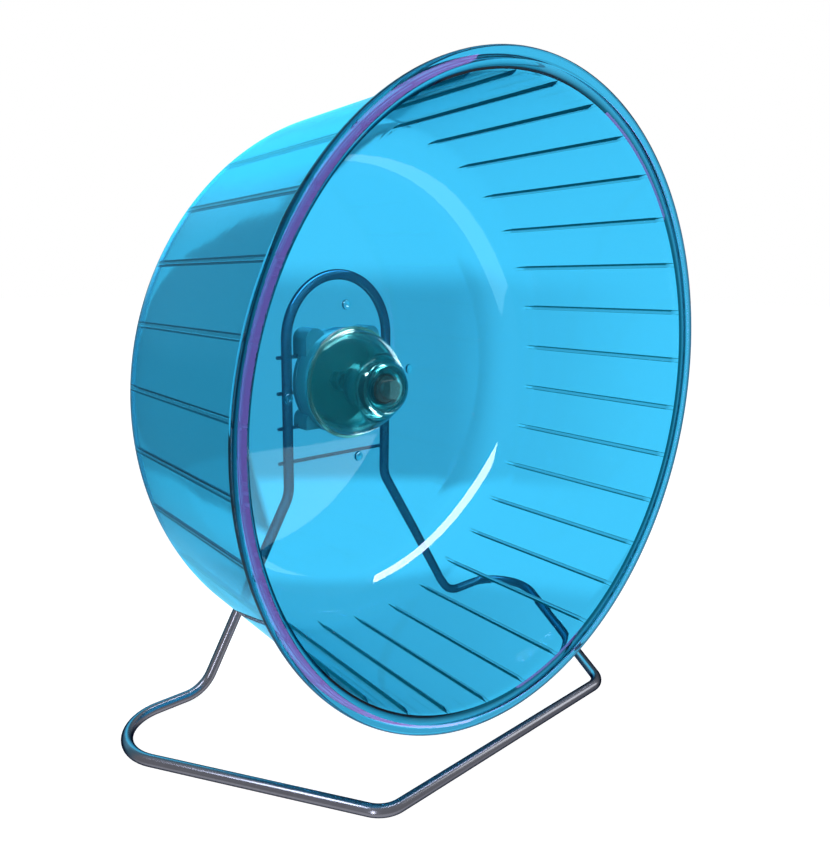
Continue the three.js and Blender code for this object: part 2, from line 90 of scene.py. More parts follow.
def new_piece(name, points, faces, smooth_angle=35):
    """A mesh object in the scene, shaded smooth except at edges sharper than an angle."""
    mesh = bpy.data.meshes.new(name)
    mesh.from_pydata([tuple(p) for p in points], [], faces)
    mesh.validate()
    work = bmesh.new()
    work.from_mesh(mesh)
    bmesh.ops.remove_doubles(work, verts=work.verts, dist=MERGE_DISTANCE * MM)
    bmesh.ops.recalc_face_normals(work, faces=work.faces)
    for face in work.faces:
        face.smooth = True
    for edge in work.edges:
        edge.smooth = not edge.is_manifold or edge.calc_face_angle(0) < math.radians(smooth_angle)
    work.to_mesh(mesh)
    work.free()
    piece = bpy.data.objects.new(name, mesh)
    bpy.context.scene.collection.objects.link(piece)
    return piece


def ring_faces(rings, sides, closed_path=False):
    """Quads between consecutive closed rings of points."""
    faces = []
    for i in range(rings if closed_path else rings - 1):
        for k in range(sides):
            a, b = i * sides + k, i * sides + (k + 1) % sides
            c, d = ((i + 1) % rings) * sides + k, ((i + 1) % rings) * sides + (k + 1) % sides
            faces.append((a, b, d, c))
    return faces


def lathe(name, outline, sides):
    """An outline of (radius, depth) points in mm, turned round the axle. It closes on itself."""
    angles = [2 * math.pi * k / sides for k in range(sides)]
    points = [place(radius, depth, angle) for radius, depth in outline for angle in angles]
    return new_piece(name, points, ring_faces(len(outline), sides, closed_path=True))


# %% [markdown]
# Real mouldings and bent wires have no sharp corners. An outline is written as corners, each with
# its own fillet, and this helper turns each fillet into a short arc. It works in two and three
# dimensions alike, so the same few lines shape the rim and bend the wire.

# %% Rounded corners
def arc_at(before, corner, after, radius, steps):
    """Points of the arc that rounds a corner with a radius."""
    towards = (before - corner).normalized()
    onwards = (after - corner).normalized()
    half = towards.angle(onwards) / 2
    centre = corner + (towards + onwards).normalized() * radius / math.sin(half)
    start = corner + towards * radius / math.tan(half) - centre
    end = corner + onwards * radius / math.tan(half) - centre
    sweep = math.pi - 2 * half
    arc = []
    for i in range(steps + 1):
        part = sweep * i / steps
        arc.append(centre + (start * math.sin(sweep - part) + end * math.sin(part)) / math.sin(sweep))
    return arc


def rounded(corners, steps):
    """Corners are (place, fillet) pairs, with fillet 0 for a sharp one. The outline is closed."""
    points = []
    for i, (corner, fillet) in enumerate(corners):
        if fillet == 0:
            points.append(corner)
            continue
        before = corners[i - 1][0]
        after = corners[(i + 1) % len(corners)][0]
        points += arc_at(before, corner, after, fillet, steps)
    return points


def profile(*corners, steps=6):
    """The same for (radius, depth, fillet) corners in mm, as plain pairs."""
    return [tuple(p) for p in rounded([(Vector((r, y)), f) for r, y, f in corners], steps)]


def line(start, end, steps):
    """Evenly spaced points between two corners, without the last one."""
    return [tuple(Vector(start).lerp(Vector(end), i / steps)) for i in range(steps)]


def quarter(centre, reach, start, end, steps):
    """Points of an arc round a centre, between two angles in quarter turns."""
    angles = [math.pi / 2 * (start + (end - start) * i / steps) for i in range(steps + 1)]
    return [(centre[0] + reach * math.cos(a), centre[1] + reach * math.sin(a)) for a in angles]


# %% [markdown]
# The drum is one moulding of clear blue plastic: a rim with a rounded edge, a slightly tapered
# running wall, a big soft fillet and a flat back with a round hole for the hub. Its inner and
# outer skins are drawn separately, because the ribs stand on the inner one only.

# %% Sizes of the drum
RIM_RADIUS = 140
RUN_FRONT, RUN_REAR = 132.4, 128.2
LIP_DEPTH, DRUM_DEPTH, WALL = 3.4, 118, 2.4
FILLET = 26
HOLE_RADIUS = 28.7
RIM_BACK, COVE, COVE_END = 3.6, 3.8, 9.5
LIP_WIDTH, LIP_RISE, BEVEL_WIDTH = 0.8, 0.7, 2.6
RIBS, RIB_WIDTH, RIB_HEIGHT = 32, 2.2, 1.2
REST_TURN = math.radians(6)
HOLE_CHAMFER = 0.3
BACK = DRUM_DEPTH + WALL
FILLET_DEPTH = DRUM_DEPTH - FILLET


def run_radius(depth):
    """Inner radius of the running wall, which tapers towards the back."""
    share = (depth - LIP_DEPTH) / (DRUM_DEPTH - LIP_DEPTH)
    return RUN_FRONT + (RUN_REAR - RUN_FRONT) * share


FILLET_RING = run_radius(FILLET_DEPTH) - FILLET


def skin_radius(depth):
    """Inner radius of the wall or of the fillet behind it."""
    if depth <= FILLET_DEPTH:
        return run_radius(depth)
    reach = min(FILLET, depth - FILLET_DEPTH)
    return min(run_radius(depth), FILLET_RING + math.sqrt(FILLET ** 2 - reach ** 2))


def outside(depth):
    """Outer radius of the running wall."""
    return run_radius(depth) + WALL


print("drum:", 2 * RIM_RADIUS, "mm across and", BACK, "mm deep")

# %% Outlines of the drum
BACK_STEPS, FILLET_STEPS, WALL_STEPS = 10, 22, 26
OUTER_FILLET_STEPS, OUTER_WALL_STEPS = 20, 12


def inner_skin():
    """From the hole over the flat back and round the fillet, then forward to the lip."""
    back = line((HOLE_RADIUS + HOLE_CHAMFER, DRUM_DEPTH), (FILLET_RING, DRUM_DEPTH), BACK_STEPS)
    fillet = quarter((FILLET_RING, FILLET_DEPTH), FILLET, 1, 0, FILLET_STEPS)
    wall = line(fillet[-1], (RUN_FRONT, LIP_DEPTH), WALL_STEPS)[1:]
    return [(HOLE_RADIUS, DRUM_DEPTH + HOLE_CHAMFER)] + back + fillet + wall


def rim_skin():
    """The lip, the dark bevel, the flat face, the rounded edge and the cove behind it."""
    return profile(
        (RUN_FRONT, LIP_DEPTH, 0),
        (RUN_FRONT + LIP_WIDTH, LIP_DEPTH - LIP_RISE, 0.35),
        (RUN_FRONT + BEVEL_WIDTH, 0, 0.5),
        (RIM_RADIUS, 0, 1.4),
        (RIM_RADIUS, RIM_BACK, 1.2),
        (outside(RIM_BACK), RIM_BACK, COVE),
        (outside(COVE_END), COVE_END, 0),
    )


def outer_skin():
    """From behind the cove over the outside, round the fillet and in to the hole."""
    reach = FILLET + WALL
    hole = (HOLE_RADIUS + HOLE_CHAMFER, BACK)
    front, rear = (outside(COVE_END), COVE_END), (outside(FILLET_DEPTH), FILLET_DEPTH)
    wall = line(front, rear, OUTER_WALL_STEPS)[1:]
    fillet = quarter((FILLET_RING, FILLET_DEPTH), reach, 0, 1, OUTER_FILLET_STEPS)
    back = line((FILLET_RING, BACK), hole, BACK_STEPS)[1:]
    return wall + fillet + back + [hole, (HOLE_RADIUS, BACK - HOLE_CHAMFER)]


drum_outline = inner_skin() + rim_skin() + outer_skin()
print("drum outline:", len(drum_outline), "points")

# %% [markdown]
# Thirty-two ribs cross the running wall so that paws get a grip. They are part of the same moulding,
# so they are raised out of the drum's own columns of points instead of being stuck on: glass
# and clear plastic render wrongly where two closed shapes run through each other. The section is
# given as shares of the rib's width and height. Its first, flat column keeps the smooth shading
# of the rib's foot from bending the wall between the ribs.

# %% Columns across one rib
RIB_SECTION_SHARES = [(0.74, 0), (0.60, 0), (0.53, 0.12), (0.47, 0.5), (0.42, 0.86), (0.33, 0.98), (0, 1)]
COLUMNS_BETWEEN_RIBS = 5
RIBS_FRONT, RIBS_INSIDE = LIP_DEPTH + 0.1, FILLET_RING + 1


def drum_columns():
    """(angle, rib height) of each column of points round the drum."""
    pitch = 2 * math.pi / RIBS
    left = [(-across, height) for across, height in RIB_SECTION_SHARES]
    section = left + [(across, height) for across, height in reversed(RIB_SECTION_SHARES[:-1])]
    edge = RIB_SECTION_SHARES[0][0] * RIB_WIDTH / RUN_FRONT
    free = pitch - 2 * edge
    columns = []
    for rib in range(RIBS):
        start = REST_TURN + rib * pitch
        for across, height in section:
            columns.append((start + across * RIB_WIDTH / RUN_FRONT, height * RIB_HEIGHT))
        for i in range(1, COLUMNS_BETWEEN_RIBS + 1):
            columns.append((start + edge + free * i / (COLUMNS_BETWEEN_RIBS + 1), 0))
    return columns


print("columns round the drum:", len(drum_columns()))

# %% Build the drum
def build_drum():
    """The closed moulding. Each rib is lifted out of the inner skin, from just behind the lip."""
    columns = drum_columns()
    inner_rows = len(inner_skin())
    points = []
    for row, (radius, depth) in enumerate(drum_outline):
        on_run = row <= inner_rows and radius > RIBS_INSIDE
        for angle, height in columns:
            raised_by = height if depth > RIBS_FRONT else 0
            lifted = min(radius, run_radius(depth) - raised_by) if on_run else radius
            points.append(place(lifted, depth, angle))
    faces = ring_faces(len(drum_outline), len(columns), closed_path=True)
    return new_piece("drum_shell", points, faces, smooth_angle=40)


shell = build_drum()
print("whole drum:", len(shell.data.vertices), "points")

# %% [markdown]
# A light in Blender can be linked to whole objects only. The reflections on the rim, on the curved
# back and on the running wall come from different lights, so the one moulding is parted into
# three objects. Nothing moves, and together they are still the same closed moulding.

# %% Part the drum into shell, back and rim
SLACK = 0.02


def polar(spot):
    """A point's radius round the axle and its depth, in mm."""
    return math.hypot(spot.x - axle.x, spot.z - axle.z) / MM, (spot.y - rim_front) / MM


def on_rim(spot):
    """Whether a face's middle lies on the rim rather than on the shell."""
    radius, depth = polar(spot)
    before_lip = depth < LIP_DEPTH - SLACK and radius > RUN_FRONT - SLACK
    return before_lip or (depth < COVE_END and radius > run_radius(depth) + WALL / 2)


def split_off(piece, name, belongs):
    """Moves the faces that pass a test to a new object, in their own places."""
    parted = bpy.data.objects.new(name, piece.data.copy())
    parted.data.name = name
    bpy.context.scene.collection.objects.link(parted)
    for target, keep in ((piece, False), (parted, True)):
        work = bmesh.new()
        work.from_mesh(target.data)
        dropped = [face for face in work.faces if belongs(face.calc_center_median()) != keep]
        bmesh.ops.delete(work, geom=dropped, context="FACES")
        work.to_mesh(target.data)
        work.free()
    return parted


rim = split_off(shell, "drum_rim", on_rim)
back = split_off(shell, "drum_back", lambda spot: polar(spot)[1] > FILLET_DEPTH)
print("shell, back and rim:", [len(part.data.vertices) for part in (shell, back, rim)], "points")

# %% [markdown]
# Clear plastic is deeper in colour where there is more of it to look through. Each point of the
# drum therefore remembers a share of deep tint: all of it on the bevel, about a quarter on the
# rim's flat face, a sixth on its edge and half on the ribs' tops. On the bevel it is painted shade,
# for the dark band that refraction gives there. The ribs' flanks look dark, like a cut edge of dyed
# plastic, so they get a finish of their own, whose dark colour is partly painted shade.

# %% Deep tint with painted shade on the bevel, and the flanks of the ribs
DARK_END, EDGE_START, BLEND = RUN_FRONT + 1.3, RIM_RADIUS - 0.6, 0.5
FACE_SHARE, EDGE_SHARE, RIB_TOP_SHARE = 0.26, 0.16, 0.5
RIM_DEPTH_SHARES = [
    (0, 1),
    (DARK_END, 1),
    (DARK_END + BLEND, FACE_SHARE),
    (EDGE_START, FACE_SHARE),
    (EDGE_START + BLEND, EDGE_SHARE),
]
RIBS_SPAN = (LIP_DEPTH - 0.1, DRUM_DEPTH - 2)
RIM_BACK_FROM = RIM_BACK - 0.2
TOP_FROM, FLANK_FROM, STEEP_BELOW = 0.9, 0.1, 0.85


def rib_share(spot):
    """How far a point of the shell is raised out of the wall, from 0 to 1."""
    radius, depth = polar(spot)
    if not RIBS_SPAN[0] <= depth < RIBS_SPAN[1]:
        return 0
    return max(0, min(1, (skin_radius(depth) - radius) / RIB_HEIGHT))


def mark_ribs(piece):
    """Stores the ribs' deep tint and gives their flanks the second material, whose dark colour is partly painted
    shade.
    """
    shares = [rib_share(vertex.co) for vertex in piece.data.vertices]
    marks = piece.data.attributes.new("deep_tint_and_shade", "FLOAT", "POINT")
    marks.data.foreach_set("value", [RIB_TOP_SHARE * (share > TOP_FROM) for share in shares])
    for face in piece.data.polygons:
        outward = (face.center - axle).normalized()
        outward.y = 0
        steep = abs(face.normal.dot(outward.normalized())) < STEEP_BELOW
        face.material_index = int(steep and max(shares[v] for v in face.vertices) > FLANK_FROM)
    return sum(face.material_index for face in piece.data.polygons)


def rim_tint_and_shade(radius, depth):
    """Share of deep tint at a point of the rim, painted shade on the bevel, and none on its back."""
    if depth > RIM_BACK_FROM:
        return 0
    share = 1
    for (start, low), (end, high) in zip(RIM_DEPTH_SHARES, RIM_DEPTH_SHARES[1:]):
        if start <= radius <= end:
            share = low + (high - low) * (radius - start) / (end - start)
    return share


def mark_rim(piece):
    """Stores the share of deep tint on each point of the rim, which on the bevel is painted shade."""
    marks = piece.data.attributes.new("deep_tint_and_shade", "FLOAT", "POINT")
    marks.data.foreach_set("value", [rim_tint_and_shade(*polar(vertex.co)) for vertex in piece.data.vertices])


mark_rim(rim)
print("flank faces:", mark_ribs(shell) + mark_ribs(back))

# %% [markdown]
# Where the moulding tool fed the plastic in, four round nubs are left on the back wall, in line
# with four of the ribs. Each is a low button with a dimple. It floats a hair above the wall, because
# clear shapes that run through each other render wrongly.

# %% Moulding nubs
NUB_RING, NUB_RADIUS, NUB_RISE, NUB_DIMPLE = 42, 2.7, 1.2, 0.45
NUB_SHOULDER, NUB_BROW, NUB_EYE = 0.9, (1.3, 0.08), 0.7
NUB_COUNT, NUB_SIDES, NUB_GAP = 4, 28, 0.03


def nub_outline():
    """(distance from its middle, rise) of a button with round shoulders and a dimple."""
    turn = (NUB_RADIUS - NUB_SHOULDER, NUB_RISE - NUB_SHOULDER)
    shoulder = quarter(turn, NUB_SHOULDER, 0, 1, 6)
    dimple = [(NUB_BROW[0], NUB_RISE - NUB_BROW[1]), (NUB_EYE, NUB_RISE - NUB_DIMPLE)]
    return [(NUB_RADIUS, 0)] + shoulder + dimple


def build_nubs():
    """Rings of points for each nub, closed by a fan at its dimple and a flat face at its foot."""
    points, faces = [], []
    outline = nub_outline()
    for n in range(NUB_COUNT):
        centre = place(NUB_RING, DRUM_DEPTH - NUB_GAP, REST_TURN + n * 2 * math.pi / NUB_COUNT)
        base = len(points)
        for across, rise in outline:
            for k in range(NUB_SIDES):
                turn = 2 * math.pi * k / NUB_SIDES
                points.append(centre + Vector((across * math.cos(turn), -rise, across * math.sin(turn))) * MM)
        faces += [tuple(base + v for v in face) for face in ring_faces(len(outline), NUB_SIDES)]
        points.append(centre + Vector((0, NUB_DIMPLE - NUB_RISE, 0)) * MM)
        last = base + (len(outline) - 1) * NUB_SIDES
        top = len(points) - 1
        faces += [(last + k, last + (k + 1) % NUB_SIDES, top) for k in range(NUB_SIDES)]
        faces.append(tuple(base + k for k in range(NUB_SIDES)))
    return new_piece("moulding_nubs", points, faces, smooth_angle=60)


nubs = build_nubs()
print("nubs:", NUB_COUNT, "on a ring of", NUB_RING, "mm")

# %% [markdown]
# The hub is a stack. A smoky bell snaps into the hole of the drum and a domed cap closes its nose.
# Behind it a dark cone with a skirt, and a plate with four ears, carry the axle bolt. All but the
# plate are lathe work: an outline with rounded edges, turned round the axle.

# %% Bell of the hub
BELL_RADIUS, BELL_HEIGHT, BELL_SHOULDER, NOSE_RADIUS = 28.9, 27.8, 11, 14.4
BELL_WALL, FOOT_WIDTH, FOOT_THICKNESS, SLEEVE_INSET, SEAT_GAP = 2.2, 1.5, 1.2, 0.5, 0.3
NOSE_DEPTH = DRUM_DEPTH - BELL_HEIGHT
WEB_FRONT, WEB_REAR, BOSS_REAR = 92.8, 95.0, 104.4
BOSS_BORE, BOSS_RADIUS, SEAT_RADIUS = 6.6, 8.9, 12.8
CURVE_STOP, FOOT_START = 0.8, 0.5


def bell_curve(offset=0, steps=26):
    """The bell's outline from its foot to its nose, moved inwards by an offset."""
    foot = Vector((BELL_RADIUS, DRUM_DEPTH))
    shoulder = Vector((BELL_RADIUS, DRUM_DEPTH - BELL_SHOULDER))
    nose = Vector((NOSE_RADIUS, NOSE_DEPTH))
    points = []
    for i in range(steps + 1):
        t = i / steps
        spot = foot * (1 - t) ** 2 + shoulder * 2 * t * (1 - t) + nose * t ** 2
        heading = ((shoulder - foot) * (1 - t) + (nose - shoulder) * t).normalized()
        points.append(tuple(spot + Vector((heading.y, -heading.x)) * offset))
    return points


def build_bell():
    """Down the outside to the foot, through the drum's hole, up the inside and round the boss."""
    foot_rear = DRUM_DEPTH - SEAT_GAP
    foot_front = foot_rear - FOOT_THICKNESS
    foot_radius = BELL_RADIUS + FOOT_WIDTH
    sleeve = BELL_RADIUS - SLEEVE_INSET
    inner_x = BELL_RADIUS - BELL_WALL
    outside_curve = [p for p in bell_curve() if p[1] < foot_front - CURVE_STOP]
    inside_curve = [p for p in bell_curve(BELL_WALL) if WEB_REAR + 1 < p[1] < foot_rear]
    foot = profile(
        (outside_curve[0][0], foot_front - FOOT_START, 0),
        (BELL_RADIUS, foot_front, 0.4),
        (foot_radius, foot_front, 0.5),
        (foot_radius, foot_rear, 0.15),
        (sleeve, foot_rear, 0.15),
        (sleeve, BACK, 0.25),
        (inner_x, BACK, 0.25),
        (inner_x, foot_rear, 0),
        steps=4,
    )[1:-1]
    web = profile(
        inside_curve[-1] + (0,),
        (inside_curve[-1][0] - 0.6, WEB_REAR, 0.5),
        (BOSS_RADIUS, WEB_REAR, 0.6),
        (BOSS_RADIUS, BOSS_REAR, 0.3),
        (BOSS_BORE, BOSS_REAR, 0.3),
        (BOSS_BORE, WEB_FRONT, 0.2),
        (SEAT_RADIUS, WEB_FRONT, 0.3),
        (SEAT_RADIUS, NOSE_DEPTH + 0.1, 0.3),
        (NOSE_RADIUS - 0.2, NOSE_DEPTH + 0.1, 0),
        steps=4,
    )[1:]
    return lathe("hub_bell_shell", outside_curve[::-1] + foot + inside_curve + web, 160)


bell = build_bell()
print("bell:", len(bell.data.vertices), "points")

# %% Cap on the nose
CAP_HEIGHT, CAP_CROWN, CAP_WALL, CAP_SPIGOT_WALL = 9.6, 8.6, 1.8, 1.6
CAP_GAP, CAP_CHAMFER, CAP_BRIM = 0.15, 0.25, 0.4


def dome(foot, foot_depth, crown, tip_depth, steps=18):
    """A quarter of a rounded dome, from its foot to the axle."""
    points = []
    for i in range(steps + 1):
        t = i / steps
        points.append((foot * (1 - t) ** 2 + crown * 2 * t * (1 - t),
                       foot_depth * (1 - t) ** 2 + tip_depth * (2 * t * (1 - t) + t ** 2)))
    return points


def build_cap():
    """A dome with a wall, and the spigot that holds it in the bell's seat."""
    seat, tip = NOSE_DEPTH - CAP_GAP, NOSE_DEPTH - CAP_HEIGHT
    spigot = SEAT_RADIUS - SEAT_GAP
    inner = spigot - CAP_SPIGOT_WALL
    outline = [(NOSE_RADIUS - CAP_CHAMFER, seat), (NOSE_RADIUS, seat - CAP_CHAMFER)]
    outline += dome(NOSE_RADIUS, seat - CAP_BRIM, CAP_CROWN, tip)
    outline += dome(inner, seat, CAP_CROWN - CAP_WALL, tip + CAP_WALL)[::-1]
    outline += [(inner, WEB_FRONT - SEAT_GAP), (spigot, WEB_FRONT - SEAT_GAP), (spigot, seat)]
    return lathe("hub_cap_dome", outline, 128)


cap = build_cap()
print("cap:", len(cap.data.vertices), "points")

# %% Cone and skirt behind the wall
NEST_GAP, CONE_WALL, WELL_RADIUS, BOLT_BORE = 1.3, 1.8, 10.5, 3.3
SPACER_DEPTH, WEB_THICKNESS = depth_of("spacer_tube", 0), 2.5
CONE_WEB = SPACER_DEPTH - WEB_THICKNESS
SKIRT_GAP, SKIRT_REAR, MOUNT_RADIUS = 1.5, depth_of("mount_cone", 1), 29.0
SKIRT_FRONT = BACK + SKIRT_GAP


def build_cone():
    """A shell nested inside the bell, with a web for the bolt and a skirt behind the drum."""
    front = WEB_REAR + NEST_GAP
    shell_curve = [p for p in bell_curve(BELL_WALL + NEST_GAP) if p[1] > front]
    inner_curve = [p for p in bell_curve(BELL_WALL + NEST_GAP + CONE_WALL)
                   if p[1] > front + CONE_WALL and p[0] > WELL_RADIUS + CONE_WALL]
    step = SKIRT_FRONT + CONE_WALL
    outline = profile(
        (MOUNT_RADIUS - CONE_WALL, SKIRT_REAR, 0),
        (MOUNT_RADIUS, SKIRT_REAR, 0.4),
        (MOUNT_RADIUS, SKIRT_FRONT, 1.4),
        (shell_curve[0][0], SKIRT_FRONT, 0),
        steps=5,
    )
    outline += shell_curve
    outline += profile(
        (shell_curve[-1][0], front, 0),
        (WELL_RADIUS, front, 0.6),
        (WELL_RADIUS, CONE_WEB, 0),
        steps=4,
    )[1:]
    outline += [(BOLT_BORE, CONE_WEB), (BOLT_BORE, SPACER_DEPTH), (WELL_RADIUS + CONE_WALL, SPACER_DEPTH)]
    outline += [(WELL_RADIUS + CONE_WALL, inner_curve[-1][1])] + inner_curve[::-1]
    outline += [(shell_curve[0][0] - CONE_WALL, step), (MOUNT_RADIUS - CONE_WALL, step)]
    return lathe("mount_cone_shell", outline, 128)


cone = build_cone()
print("cone:", len(cone.data.vertices), "points")

# %% [markdown]
# The axle bolt is a standard hexagon-head screw. Its head is a lathe whose radius follows a hexagon,
# chamfered towards its face, and its rear half carries a real thread: the radius of each point
# swings with its depth and its angle together, so the ridge climbs once per turn.

# %% Axle bolt with its thread
HEAD_ACROSS_FLATS, HEAD_HEIGHT, SHANK_RADIUS = 10, 4, 2.95
THREAD_PITCH, THREAD_HEIGHT, THREAD_START, RUN_OUT = 1.0, 0.55, 112, 2
FACE_WIDTH, FACE_RINGS, HEAD_CHAMFER, TIP_CHAMFER = 0.94, (0.05, 0.6, 1), 0.6, 0.6
BOLT_SIDES, THREAD_STEPS = 48, 8
HEAD_DEPTH, TIP_DEPTH = depth_of("axle_bolt", 0), depth_of("axle_bolt", 1)


def hexagon(angle):
    """Radius of a hexagon at an angle."""
    sixth = math.pi / 3
    return HEAD_ACROSS_FLATS / 2 / math.cos((angle % sixth) - sixth / 2)


def thread_radius(depth, angle):
    """Radius of the threaded shank, which runs out at its start and is chamfered at its tip."""
    turn = (depth / THREAD_PITCH - angle / (2 * math.pi)) % 1
    groove = THREAD_HEIGHT * abs(2 * turn - 1) * min(1, max(0, (depth - THREAD_START) / RUN_OUT))
    return min(SHANK_RADIUS - groove, SHANK_RADIUS - TIP_CHAMFER + max(0, TIP_DEPTH - depth))


def build_bolt():
    """Rings from the middle of the head's face to the tip, closed at both ends."""
    angles = [2 * math.pi * k / BOLT_SIDES for k in range(BOLT_SIDES)]
    flat = HEAD_ACROSS_FLATS / 2 * FACE_WIDTH
    rings = [[(flat * share, HEAD_DEPTH)] * BOLT_SIDES for share in FACE_RINGS]
    rings.append([(hexagon(a), HEAD_DEPTH + (hexagon(a) - flat) * HEAD_CHAMFER) for a in angles])
    rings.append([(hexagon(a), HEAD_DEPTH + HEAD_HEIGHT) for a in angles])
    rings.append([(SHANK_RADIUS, HEAD_DEPTH + HEAD_HEIGHT)] * BOLT_SIDES)
    count = round((TIP_DEPTH - THREAD_START) / THREAD_PITCH * THREAD_STEPS)
    for i in range(count + 1):
        depth = THREAD_START + (TIP_DEPTH - THREAD_START) * i / count
        rings.append([(thread_radius(depth, a), depth) for a in angles])
    points = [place(radius, depth, a) for ring in rings for (radius, depth), a in zip(ring, angles)]
    faces = ring_faces(len(rings), BOLT_SIDES)
    last = (len(rings) - 1) * BOLT_SIDES
    faces += [tuple(range(BOLT_SIDES)), tuple(range(last, last + BOLT_SIDES))]
    return new_piece("axle_bolt_threaded", points, faces, smooth_angle=28)


bolt = build_bolt()
print("bolt:", len(bolt.data.vertices), "points,", round(TIP_DEPTH - THREAD_START), "mm of thread")

# %% [markdown]
# The wing nut is cast: a tapered hub with two wings that have round edges and grow thinner towards
# their ends. A wing is an outline with several copies of itself, each drawn in a little and
# moved sideways, so that its edge is a half circle.

# %% Wing nut
NUT_DEPTH = depth_of("wing_nut", 0)
NUT_RADIUS, NUT_NECK, NUT_THICKNESS, NUT_BORE = 6, 5, 6, 3.3
WING_SPAN, LOBE_RADIUS, WING_RISE, WING_THICKNESS = 15, 4.2, 6.8, 2.4
ROOT_SINK, ROOT_STEP, WING_ROUNDING = 1.4, 0.9, 1.0
ROOT_SWELL, TIP_THINNING = 1.25, 0.35
LOBE_STEPS, EDGE_STEPS, NUT_SIDES = 22, 6, 48


def wing_outline():
    """(across, rearwards) points of one wing, in mm from the hub's front and the axle."""
    lobe = (WING_SPAN - LOBE_RADIUS, WING_RISE)
    root = NUT_NECK - ROOT_SINK
    arc = quarter(lobe, LOBE_RADIUS, -2 / 3, 3 / 2, LOBE_STEPS)
    return [(root, ROOT_STEP)] + arc + [(root, NUT_THICKNESS - ROOT_STEP)]


def drawn_in(outline, amount):
    """An outline moved inwards along the normals of its corners."""
    moved = []
    for i, point in enumerate(outline):
        before, after = Vector(outline[i - 1]), Vector(outline[(i + 1) % len(outline)])
        along = (after - before).normalized()
        moved.append((point[0] - along.y * amount, point[1] + along.x * amount))
    return moved


def nut_hub():
    """Points of the nut's tapered hub, and the number of its rings."""
    hub = profile(
        (NUT_BORE, 0, 0.3),
        (NUT_RADIUS, 0, 0.4),
        (NUT_NECK, NUT_THICKNESS, 0.9),
        (NUT_BORE, NUT_THICKNESS, 0.5),
        steps=5,
    )
    turns = [2 * math.pi * k / NUT_SIDES for k in range(NUT_SIDES)]
    return [place(radius, NUT_DEPTH + depth, turn) for radius, depth in hub for turn in turns], len(hub)


def wing_points(side):
    """Copies of the wing's outline, from one face over the rounded edge to the other face."""
    points = []
    for i in range(EDGE_STEPS + 1):
        tilt = math.pi * (i / EDGE_STEPS - 0.5)
        for across, rear in drawn_in(wing_outline(), WING_ROUNDING * (1 - math.cos(tilt))):
            thickness = WING_THICKNESS / 2 * (ROOT_SWELL - TIP_THINNING * across / WING_SPAN)
            points.append(Vector((
                axle.x + side * across * MM,
                rim_front + (NUT_DEPTH + rear) * MM,
                axle.z + thickness * math.sin(tilt) * MM,
            )))
    return points


def build_wing_nut():
    """The hub and two wings, each closed by a flat face on both sides."""
    points, rings = nut_hub()
    faces = ring_faces(rings, NUT_SIDES, closed_path=True)
    width = len(wing_outline())
    for side in (1, -1):
        base = len(points)
        points += wing_points(side)
        faces += [tuple(base + v for v in face) for face in ring_faces(EDGE_STEPS + 1, width)]
        for end in (base, base + EDGE_STEPS * width):
            faces.append(tuple(end + k for k in range(width)))
    return new_piece("wing_nut_cast", points, faces, smooth_angle=40)


wing_nut = build_wing_nut()
print("wing nut:", len(wing_nut.data.vertices), "points")

# %% [markdown]
# The plates keep their CAD solids, because a straight-cut plate is right as it is. A bevel modifier
# rounds their edges a little, the way a mould does. Washers and the lock nut get the same, with
# narrower bevels.

# %% Soften the edges of carried-over solids
PLATE_BEVEL, WASHER_BEVEL, SHARP_ANGLE = 0.5, 0.18, math.radians(32)


def soften(node, width, segments=3):
    """A bevel along a CAD node's sharp edges, which leaves the node's own points alone."""
    bevel = frame["nodes"][node].modifiers.new("soft edges", "BEVEL")
    bevel.width = width * MM
    bevel.segments = segments
    bevel.limit_method = "ANGLE"
    bevel.angle_limit = SHARP_ANGLE
    bevel.harden_normals = True


for node in ("mount_plate", "clamp_plate"):
    soften(node, PLATE_BEVEL)
for node in ("front_washer", "thrust_washer", "clamp_washer", "lock_washer", "lock_nut"):
    soften(node, WASHER_BEVEL, segments=2)
print("softened:", [n for n, piece in frame["nodes"].items() if "soft edges" in piece.modifiers])

# %% [markdown]
# The stand is one length of round steel wire, bent into an arch, two legs, two feet and a loop on the
# floor. A wire is bent round pins of a few sizes, so the path is a list of corners with their
# bend radii, in the CAD model's own places. The CAD wire has twelve flat sides, so its box ends
# a little short of the round wire's front.

# %% Path of the stand wire
WIRE_RADIUS, CAD_WIRE_SIDES, CLOSEST = 2.75, 12, 0.2
wire_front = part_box("stand_wire")[0].y
front_bar_y = wire_front + WIRE_RADIUS * math.cos(math.pi / CAD_WIRE_SIDES) * MM
LEG_DEPTH, FOOT_DEPTH = 131.1, 127.0
LEG_X, ARCH_RISE, KNEE_DROP, KNEE_BEND = 34.25, 22.9, 60, 17
FOOT_X, FOOT_BEND, REAR_X, REAR_BEND, FRONT_X, FRONT_BEND = 91.5, 17, 159.3, 23, 76.3, 14


def stand_path():
    """The wire's middle line. Half of it is listed as (x, y, z, bend radius, steps in the bend)."""
    floor_z = WIRE_RADIUS * MM
    leg_y, foot_y = rim_front + LEG_DEPTH * MM, rim_front + FOOT_DEPTH * MM
    half = [
        (LEG_X, leg_y, axle.z + (ARCH_RISE + LEG_X) * MM, LEG_X, 28),
        (LEG_X, leg_y, axle.z - KNEE_DROP * MM, KNEE_BEND, 10),
        (FOOT_X, foot_y, floor_z, FOOT_BEND, 12),
        (REAR_X, foot_y, floor_z, REAR_BEND, 20),
        (FRONT_X, front_bar_y, floor_z, FRONT_BEND, 14),
    ]
    corners = [(Vector((-x * MM, y, z)), bend, steps) for x, y, z, bend, steps in half]
    corners += [(Vector((x * MM, y, z)), bend, steps) for x, y, z, bend, steps in reversed(half)]
    points = []
    for i, (corner, bend, steps) in enumerate(corners):
        before, after = corners[i - 1][0], corners[(i + 1) % len(corners)][0]
        points += arc_at(before, corner, after, bend * MM, steps)
    return [p for i, p in enumerate(points) if (p - points[i - 1]).length > CLOSEST * MM]


